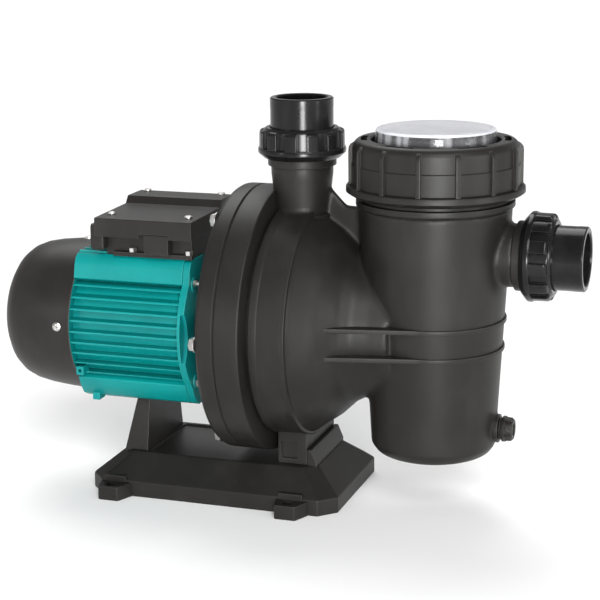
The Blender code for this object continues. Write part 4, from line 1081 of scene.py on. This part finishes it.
@dataclass
class Motor(SubAssembly):
    """Ribbed motor housing, end shields, fan cover, and what fastens them."""

    layout: Layout
    span: Point = (-0.2217, -0.105)
    tip_radius: float = 0.077
    root_radius: float = 0.068
    fin_pitch: float = 0.0113
    fin_thickness: float = 0.0024
    fins_each_way: int = 4
    top_fins: int = 3
    top_fin_start: float = -0.0450
    top_fin_pitch: float = 0.0115
    top_flat: float = 0.0745
    bottom_flat: float = -0.0760
    shield_right: float = -0.0965
    shield_radius: float = 0.0797
    cover_radius: float = 0.0790
    cover_end: float = -0.3100
    cover_rim: float = -0.222
    cover_wall: float = 0.0022
    air_slots_each_way: int = 4
    air_slot_pitch: float = 0.0085
    air_slot_half: float = 0.0020
    air_slot_reach: float = 0.0440
    tie_circle: float = 0.0720
    screw_x: float = -0.2345
    screw_tilt: float = math.radians(-2.6)

    def build(self) -> None:
        """Make the motor's outside."""
        self.piece("motor_housing_casting", self.housing(), MOTOR_PAINT, "pump", "motor_housing", sharp=30.0)
        self.piece("front_shield_casting", self.front_shield(), MOTOR_PAINT, "pump", "motor_front_shield")
        self.piece("rear_shield_casting", self.rear_shield(), MOTOR_PAINT, "pump", "motor_rear_shield")
        self.piece("fan_cover_moulding", self.fan_cover(), COVER_PLASTIC, "pump", "fan_cover")
        for index, angle in enumerate(evenly(4, self.screw_tilt)):
            head = pan_screw(self.cover_radius - 0.0013, 0.0047, 0.0026, Axis.Z, (self.screw_x, 0.0))
            shank = Form.rod(0.0690, self.cover_radius, 0.0016, Axis.Z, (self.screw_x, 0.0), 20)
            self.piece(f"fan_cover_screw_{index + 1}_turned", head.joined(shank).turned(angle, Axis.X), ZINC,
                       "pump", f"fan_cover_screw_{index + 1}")
        reach = self.tie_circle / math.sqrt(2)
        places = [(across, up) for across in (-reach, reach) for up in (-reach, reach)]
        for index, centre in enumerate(places):
            rod = Form.rod(-0.2433, -0.0590, 0.0023, Axis.X, centre, 24)
            rod.joined(hex_head(-0.2398, 0.0042, -0.0034, Axis.X, centre),
                       hex_head(self.shield_right + GAP, 0.0036, 0.0030, Axis.X, centre))
            self.piece(f"tie_rod_{index + 1}_turned", rod, ZINC, "pump", f"tie_rod_{index + 1}")

    def outline(self) -> list[Point]:
        """Return the housing's section: side fins between smooth corner panels."""
        side = [(0.0400, self.bottom_flat), (0.0490, -0.0715), (0.0560, -0.0605), (0.0590, -0.0540),
                (0.0592, -0.0524), (0.0540, -0.0484)]
        for index in range(-self.fins_each_way, self.fins_each_way + 1):
            height = self.fin_pitch * index - 0.001
            low, high = height - self.fin_thickness / 2, height + self.fin_thickness / 2
            roots = [math.sqrt(self.root_radius ** 2 - level ** 2) for level in (low, high)]
            tips = [math.sqrt(self.tip_radius ** 2 - level ** 2) for level in (low, high)]
            side += [(roots[0], low - 0.0006), (tips[0], low + 0.0003), (tips[1], high - 0.0003),
                     (roots[1], high + 0.0006)]
        side += [(0.0600, 0.0500), (0.0612, 0.0512), (0.0585, 0.0640), (0.0555, 0.0705),
                 (0.0500, self.top_flat)]
        return side + [(-across, up) for across, up in reversed(side)]

    def housing(self) -> Form:
        """Return the ribbed casting with its eye lug, foot boss and top fins."""
        left, right = self.span
        housing = Form.prism(self.outline(), left, right, Axis.X).bevelled(0.0005, 2, 40.0)
        housing.minus(Form.rod(left - 0.01, right + 0.01, 0.062, Axis.X, steps=96))
        lug = Form.block((-0.2190, -0.0700, -0.0475), (-0.2110, -0.0560, -0.0385), 0.0008)
        lug.minus(Form.rod(-0.080, -0.050, 0.0021, Axis.Y, (-0.2150, -0.0430), 24))
        boss = Form.block((-0.2105, -0.0520, self.bottom_flat - 0.0018),
                          (-0.2025, -0.0380, self.bottom_flat + 0.006), 0.0008)
        housing.joined(lug, boss)
        for index in range(self.top_fins):
            across = self.top_fin_start + self.top_fin_pitch * index
            housing.joined(Form.block((left, across - 0.0010, self.top_flat - 0.004),
                                      (-0.1760, across + 0.0010, self.top_flat + 0.0020), 0.0005))
        return housing

    def front_shield(self) -> Form:
        """Return the shield: round flange, lugs at the tie rods and hollowed sides between them."""
        left = self.span[1] + GAP
        steps, reach = 24, self.shield_radius
        angles = (math.radians(-42.5 + 83.0 * step / steps) for step in range(steps + 1))
        side = ([(0.0400, self.bottom_flat), (0.0490, -0.0715), (0.0560, -0.0605)]
                + [(reach * math.cos(angle), reach * math.sin(angle)) for angle in angles]
                + [(0.0585, 0.0640), (0.0555, 0.0705), (0.0500, self.top_flat)])
        outline = side + [(-across, up) for across, up in reversed(side)]
        shield = Form.prism(outline, left, self.shield_right - 0.001, Axis.X).bevelled(0.0008, 2, 40.0)
        core = Form.lathe([(left - 0.0072, 0.0178), (left - 0.0072, 0.0240), (left + 0.002, 0.0260),
                           (left + 0.002, 0.0178)], Axis.X, steps=72, closed=True)
        scallop = Form.rod(left + 0.0032, -0.080, 0.044, Axis.X, (0.0, 0.1120), 64)
        bore = Form.rod(left - 0.010, -0.080, 0.0095, Axis.X)
        pocket = Form.rod(left - 0.010, -0.1000, 0.0178, Axis.X)
        shield.minus(bore, pocket, *(scallop.copied().turned(angle, Axis.X) for angle in evenly(4)))
        shield.plus(core)
        lug = Form.lathe([(left + 0.003, 0.0), (left + 0.003, 0.0078), (self.shield_right - 0.0008, 0.0072),
                          (self.shield_right, 0.0064), (self.shield_right, 0.0)], Axis.X,
                         (0.0, self.tie_circle - 0.0030), 40)
        return shield.joined(lug.repeated(evenly(4, math.pi / 4), Axis.X))

    def rear_shield(self) -> Form:
        """Return the rear shield with its bearing pocket and spokes."""
        right = self.span[0] - GAP
        left = -0.2395
        disc = [(right + 0.0080, 0.0178), (right + 0.0080, 0.0240), (right, 0.0260), (right, 0.0764),
                (left, 0.0752), (left, 0.0700), (-0.2300, 0.0670), (-0.2300, 0.0240), (-0.2350, 0.0230),
                (-0.2350, 0.0095), (-0.2312, 0.0095), (-0.2312, 0.0178)]
        shield = Form.lathe(disc, Axis.X, steps=120, closed=True)
        spoke = Form.block((-0.2345, 0.020, -0.0014), (-0.2290, 0.070, 0.0014), 0.0005)
        return shield.joined(spoke.repeated(evenly(8, math.pi / 8), Axis.X))

    def fan_cover(self) -> Form:
        """Return the domed cover: rim bead, smooth dome and slotted end."""
        end, wall, rim = self.cover_end, self.cover_wall, self.cover_rim
        shoulder = [(end + 0.0005, 0.0200), (end + 0.0016, 0.0340), (end + 0.0036, 0.0450),
                    (end + 0.0070, 0.0545), (end + 0.0125, 0.0625), (end + 0.0200, 0.0684),
                    (end + 0.0300, 0.0724), (end + 0.0440, 0.0751), (-0.2500, 0.0768), (-0.2350, 0.0780)]
        outer = [(end, 0.0), *shoulder, (rim + 0.0012, self.cover_radius), (rim, self.cover_radius - 0.0006)]
        inner = [(rim, self.cover_radius - wall), (-0.2350, 0.0762), (-0.2500, 0.0747),
                 (end + 0.0440, 0.0729), (end + 0.0310, 0.0702), (end + 0.0212, 0.0664),
                 (end + 0.0142, 0.0606),
                 (end + 0.0090, 0.0530), (end + 0.0058, 0.0440), (end + 0.0038, 0.0330), (end + wall, 0.0)]
        cover = Form.lathe(outer + inner, Axis.X, steps=144)
        for index in range(-self.air_slots_each_way, self.air_slots_each_way + 1):
            across, half = self.air_slot_pitch * index, self.air_slot_half
            reach = math.sqrt(self.air_slot_reach ** 2 - across ** 2)
            for low, high in ((-reach, -0.003), (0.003, reach)):
                if high - low > 0.006:
                    cover.minus(Form.block((end - 0.010, across - half, low),
                                           (end + 0.012, across + half, high)))
        hole = Form.rod(0.0720, 0.0900, 0.0022, Axis.Z, (self.screw_x, 0.0), 24)
        return cover.minus(hole.repeated(evenly(4, self.screw_tilt), Axis.X))


@dataclass
class TerminalBox(SubAssembly):
    """Terminal box: base with foot strip and cable block, lid with a raised rear, screws and gland."""

    layout: Layout
    base_x: Point = (-0.190, -0.098)
    half_y: float = 0.050
    floor: float = 0.0748
    base_top: float = 0.1020
    cover_x: Point = (-0.195, -0.092)
    cover_y: Point = (-0.066, 0.053)
    skirt: float = 0.0955
    front_top: float = 0.1143
    rear_top: float = 0.1228
    ceiling: float = 0.1045
    gland_x: float = -0.150
    gland_z: float = 0.0830

    def build(self) -> None:
        """Make the box."""
        self.piece("terminal_box_base_moulding", self.base(), COVER_PLASTIC, "pump", "terminal_box_base")
        self.piece("terminal_box_cover_moulding", self.cover(), COVER_PLASTIC, "pump", "terminal_box_cover")
        for index, (x, y) in enumerate(self.screw_places()):
            top = (self.front_top + 0.0006 if y < 0 else self.rear_top) + GAP
            head = pan_screw(top, 0.0041, 0.0022, Axis.Z, (x, y))
            shank = Form.rod(0.0870, top + 0.0002, 0.0016, Axis.Z, (x, y), 20)
            self.piece(f"terminal_cover_screw_{index + 1}_turned", head.joined(shank), ZINC, "pump",
                       f"terminal_cover_screw_{index + 1}")
        for name, x in (("left", self.base_x[0] + 0.030), ("right", self.base_x[1] - 0.002)):
            screw = hex_head(self.floor + 0.0045, 0.0040, 0.0046, Axis.Z, (x, -0.0525))
            self.piece(f"box_foot_screw_{name}", screw, ZINC, "pump")
        self.gland()

    def screw_places(self) -> list[Point]:
        """Return the cover screws' places (x, y)."""
        return [(x, y) for x in (self.base_x[0] + 0.005, self.base_x[1] - 0.005)
                for y in (-self.half_y + 0.005, self.half_y - 0.005)]

    def base(self) -> Form:
        """Return the box's base."""
        left, right = self.base_x
        half, floor = self.half_y, self.floor
        base = Form.block((left, -half, floor), (right, half, self.base_top), 0.0012)
        base.plus(Form.block((left + 0.010, -0.0560, floor),
                             (right + 0.002, -half + 0.001, floor + 0.0045), 0.0006),
                  Form.block((-0.1440, -0.0630, floor + 0.0045), (-0.1180, -half + 0.001, 0.0990), 0.0008),
                  Form.block((-0.2035, -0.0600, 0.0800), (left + 0.002, -0.0200, 0.1070), 0.0035))
        for ends, sides in ((0.003, 0.009), (0.009, 0.003)):
            base.minus(Form.block((left + ends, -half + sides, floor + 0.003),
                                  (right - ends, half - sides, 0.120)))
        base.minus(Form.rod(0.060, 0.090, 0.008, Axis.Z, (-0.145, 0.0), 32),
                   Form.rod(0.030, 0.060, 0.0052, Axis.Y, (self.gland_x, self.gland_z), 32))
        return base

    def cover(self) -> Form:
        """Return the lid: front plate, slope up to the rear block, and a notched skirt."""
        front, back = self.cover_y
        left, right = self.cover_x
        section = [(front, self.skirt), (front, self.front_top - 0.001), (front + 0.001, self.front_top),
                   (0.0100, self.front_top + 0.0012), (0.0160, self.rear_top), (0.0490, self.rear_top),
                   (back, self.rear_top - 0.0040), (back, self.skirt)]
        cover = Form.prism(section, left, right, Axis.X).bevelled(0.0011, 3, 20.0)
        inner, half = 0.0022, self.half_y
        cover.minus(Form.block((left + inner, front + inner, 0.080),
                               (right - inner, back - inner, self.ceiling)),
                    Form.block((self.base_x[0] + 0.006, -half + 0.009, 0.090),
                               (self.base_x[1] - 0.006, half - 0.009, 0.1118)),
                    Form.block((-0.1475, -0.070, 0.085), (-0.1165, -0.060, 0.1000), 0.0005))
        return cover

    def gland(self) -> None:
        """Make the cable gland's body and its fluted nut."""
        half, centre = self.half_y, (self.gland_x, self.gland_z)
        body = Form.lathe([(0.0400, 0.0035), (0.0400, 0.0050), (half + GAP, 0.0050), (half + GAP, 0.0075),
                           (half + 0.0040, 0.0075), (half + 0.0040, 0.0055), (half + 0.0110, 0.0055),
                           (half + 0.0110, 0.0035)], Axis.Y, centre, 48, True)
        self.piece("cable_gland_body_moulding", body, WET_PLASTIC, "pump", "cable_gland_body")
        nut = Form.lathe([(half + 0.0043, 0.0060), (half + 0.0043, 0.0072), (half + 0.0130, 0.0070),
                          (half + 0.0160, 0.0056), (half + 0.0170, 0.0048), (half + 0.0170, 0.0035),
                          (half + 0.0120, 0.0035), (half + 0.0120, 0.0060)], Axis.Y, centre, 48, True)
        flute = Form.block((self.gland_x - 0.0007, half + 0.0048, self.gland_z + 0.0060),
                           (self.gland_x + 0.0007, half + 0.0125, self.gland_z + 0.0076), 0.0002)
        nut.joined(flute.repeated(evenly(12), Axis.Y, centre))
        self.piece("cable_gland_nut_moulding", nut, WET_PLASTIC, "gland_nut", "cable_gland_nut")


@dataclass
class Base(SubAssembly):
    """Moulded base: hipped deck, slotted lugs, motor pedestal and end wall."""

    layout: Layout
    floor: float = -0.167
    span_x: Point = (-0.206, 0.055)
    half_y: float = 0.080
    side: float = 0.016
    corner: float = 0.016
    deck: float = -0.128
    deck_x: Point = (-0.178, 0.028)
    deck_half: float = 0.052
    recess_depth: float = 0.0022
    hollow_height: float = 0.014
    lug_starts: Point = (-0.187, 0.000)
    lug_width: float = 0.0225
    lug_reach: float = 0.098

    def build(self) -> None:
        """Make the base."""
        form = self.slab().plus(*self.lugs(), self.pedestal(), self.end_wall())
        form.minus(self.recess(), self.underside(), self.slots())
        self.piece("base_moulding", form, WET_PLASTIC, "pump", "base")

    def recess(self) -> Form:
        """Return the solid that sinks the deck's floor."""
        return Form.block((-0.150, -0.0475, self.deck - self.recess_depth), (-0.016, 0.0475, -0.100), 0.0010)

    def underside(self) -> Form:
        """Return the solid that hollows the base from below."""
        start, end = self.span_x
        wide = self.half_y - 0.010
        return Form.block((start + 0.024, -wide, self.floor - 0.005),
                          (end - 0.018, wide, self.floor + self.hollow_height))

    def slab(self) -> Form:
        """Return the deck with its sloping sides and cut corners."""
        low, high = self.span_x
        half, cut = self.half_y, self.corner
        outline = [(low, -half + cut), (low + cut, -half), (high - cut, -half), (high, -half + cut),
                   (high, half - cut), (high - cut, half), (low + cut, half), (low, half - cut)]
        form = Form.prism(outline, self.floor, self.floor + self.side, Axis.Z)
        top = max(form.bm.faces, key=lambda face: face.calc_center_median().z)
        raised = bmesh.ops.extrude_face_region(form.bm, geom=[top])["geom"]
        bmesh.ops.delete(form.bm, geom=[top], context="FACES_ONLY")
        deck_low, deck_high = self.deck_x
        for vert in (part for part in raised if isinstance(part, bmesh.types.BMVert)):
            share = (vert.co.x - low) / (high - low)
            along = deck_low + share * (deck_high - deck_low)
            vert.co = (along, vert.co.y * self.deck_half / half, self.deck)
        return form.cleaned().bevelled(0.0013, 2, 12.0)

    def lugs(self) -> list[Form]:
        """Return the four lugs and the raised step behind each one's slot."""
        forms = []
        reach, half, top = self.lug_reach, self.half_y, self.floor + self.side - 0.0015
        for start in self.lug_starts:
            end = start + self.lug_width
            for side in (-1, 1):
                plan = [(start, side * (reach - 0.0015)), (start + 0.0015, side * reach),
                        (end - 0.0015, side * reach), (end, side * (reach - 0.0015)),
                        (end + 0.0080, side * (half - 0.002)), (start - 0.0040, side * (half - 0.002))]
                lug = Form.prism(plan, self.floor, top, Axis.Z).bevelled(0.0009)
                low_y, high_y = sorted((side * (half - 0.014), side * (half + 0.0010)))
                ridge = Form.block((start - 0.001, low_y, self.floor + 0.006),
                                   (end + 0.001, high_y, top + 0.0062), 0.0007)
                forms += [lug, ridge]
        return forms

    def slots(self) -> Form:
        """Return the solids that open the lugs' slots."""
        form = Form()
        for start in self.lug_starts:
            middle = start + self.lug_width / 2
            for side in (-1, 1):
                near, far = sorted((side * 0.0830, side * 0.0940))
                form.joined(Form.block((middle - 0.0048, near, self.floor - 0.005),
                                       (middle + 0.0048, far, self.floor + 0.030)))
        return form

    def pedestal(self) -> Form:
        """Return the post under the motor, narrowing upwards."""
        under = self.motor_underside()
        foot = self.deck - 0.004
        outline = [(-0.1790, foot), (-0.1670, under), (-0.1530, under), (-0.1530, foot)]
        post = Form.prism(outline, -0.048, 0.048, Axis.Y)
        for vert in post.bm.verts:
            if vert.co.z > self.deck:
                vert.co.y *= 0.80
        return post.bevelled(0.0012)

    def motor_underside(self) -> float:
        """Return the height of the motor housing's underside."""
        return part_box("motor_housing")[0].z - self.layout.origin.z - GAP

    def end_wall(self) -> Form:
        """Return the wall that closes the base behind the volute's foot."""
        near = 0.0173
        outline = [(near, self.deck - 0.004), (near, -0.112), (0.0215, -0.112), (0.0270, -0.1250),
                   (0.0270, self.deck - 0.004)]
        return Form.prism(outline, -0.045, 0.045, Axis.Y).bevelled(0.0009)


@dataclass
class Studio:
    """Pale floor, soft lights and the camera."""

    azimuth: float = 18.8
    elevation: float = 13.6
    distance: float = 1.710
    target: Sequence[float] = (0.0147, 0.0, 0.1956)
    roll: float = -0.57
    lens: float = 103.0

    def build(self) -> None:
        """Set up the floor, the lights and the camera."""
        self.floor()
        self.world()
        self.soft_sun("key", (0.60, -1.20, 1.20), 30.0, 2.2)
        self.soft_sun("back", (-0.50, 1.00, 1.70), 40.0, 1.6)
        self.softbox("front", (0.90, -2.2, 0.22), 0.55, 62.0)
        self.softbox("side", (2.0, -0.5, 0.4), 0.35, 9.0)
        self.softbox("strip", (-1.3, -1.8, 0.6), 0.22, 5.0)
        self.camera()
        bpy.context.scene.view_settings.view_transform = "Standard"

    def floor(self) -> None:
        """Lay the floor."""
        bm = bmesh.new()
        bmesh.ops.create_circle(bm, cap_ends=True, radius=14.0, segments=96)
        mesh = bpy.data.meshes.new("studio_floor")
        bm.to_mesh(mesh)
        bm.free()
        floor = bpy.data.objects.new("studio_floor", mesh)
        bpy.context.scene.collection.objects.link(floor)
        sheet = Sheet("studio_floor_finish")
        tone = sheet.mix(sheet.noise(3.0), (0.94, 0.94, 0.94), (0.95, 0.95, 0.95))
        mesh.materials.append(sheet.finish(Base_Color=tone, Roughness=0.8))

    def world(self) -> None:
        """Light the scene from a pale horizon under a dimmer ceiling."""
        world = bpy.data.worlds.new("studio_world")
        bpy.context.scene.world = world
        world.use_nodes = True
        tree = world.node_tree
        kinds = ("TexCoord", "SeparateXYZ", "ValToRGB")
        place, split, ramp = (tree.nodes.new(f"ShaderNode{kind}") for kind in kinds)
        for element, (height, tone) in zip(ramp.color_ramp.elements, ((0.15, 0.62), (0.55, 0.26))):
            element.position = height
            element.color = (tone, tone, tone, 1.0)
        tree.links.new(place.outputs["Generated"], split.inputs[0])
        tree.links.new(split.outputs["Z"], ramp.inputs[0])
        tree.links.new(ramp.outputs[0], tree.nodes["Background"].inputs["Color"])

    def soft_sun(self, name: str, place: Sequence[float], spread: float, power: float) -> None:
        """Light everything evenly from one side, spread over an angle in degrees."""
        data = bpy.data.lights.new(name, "SUN")
        data.angle = math.radians(spread)
        data.energy = power
        self.hang(name, data, place)

    def softbox(self, name: str, place: Sequence[float], size: float, power: float) -> None:
        """Hang one soft light aimed at the pump."""
        data = bpy.data.lights.new(name, "AREA")
        data.size = size
        data.energy = power
        self.hang(name, data, place)

    def hang(self, name: str, data: bpy.types.Light, place: Sequence[float]) -> None:
        """Put a light in its place, aimed at the pump."""
        lamp = bpy.data.objects.new(name, data)
        lamp.visible_camera = False
        bpy.context.scene.collection.objects.link(lamp)
        lamp.location = place
        lamp.rotation_euler = (Vector(self.target) - Vector(place)).to_track_quat("-Z", "Y").to_euler()

    def camera(self) -> None:
        """Stand the camera at the viewing angle."""
        azimuth, elevation = math.radians(self.azimuth), math.radians(self.elevation)
        back = Vector((math.sin(azimuth) * math.cos(elevation), -math.cos(azimuth) * math.cos(elevation),
                       math.sin(elevation)))
        data = bpy.data.cameras.new("camera")
        data.lens = self.lens
        camera = bpy.data.objects.new("camera", data)
        bpy.context.scene.collection.objects.link(camera)
        camera.location = Vector(self.target) + back * self.distance
        facing = (-back).to_track_quat("-Z", "Y").to_matrix()
        camera.rotation_euler = (facing @ Matrix.Rotation(math.radians(self.roll), 3, "Z")).to_euler()
        bpy.context.scene.camera = camera


def dress_frame(frame: dict) -> None:
    """Give every CAD node that is still shown the finish of its slot."""
    finishes = {finish.slot: finish for finish in FINISHES}
    slots = {part["node"]: part["material_slot"] for part in frame["record"]["subparts"]}
    for name, item in frame["nodes"].items():
        if not item.hide_render:
            item.data.materials.clear()
            item.data.materials.append(finishes[slots[name]].material())
            LOG.info("%s keeps its CAD shape in %s", name, slots[name])


def main() -> None:
    """Build the pump's looks round the CAD frame."""
    logging.basicConfig(level=logging.INFO, format="%(name)s: %(message)s")
    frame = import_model()
    layout = Layout.read()
    Studio().build()
    suction = (0.0, layout.suction_z)
    for part in (PumpBody(layout), LidGroup(layout), Basket(layout),
                 Union(layout, "suction", Axis.X, suction, 0.2225, math.radians(6)),
                 Union(layout, "discharge", Axis.Z, (0.0, 0.0), 0.173, math.radians(3)),
                 DrainPlug(layout), SealPlate(layout), Motor(layout), TerminalBox(layout), Base(layout)):
        part.build()
    dress_frame(frame)


if __name__ == "__main__":
    main()
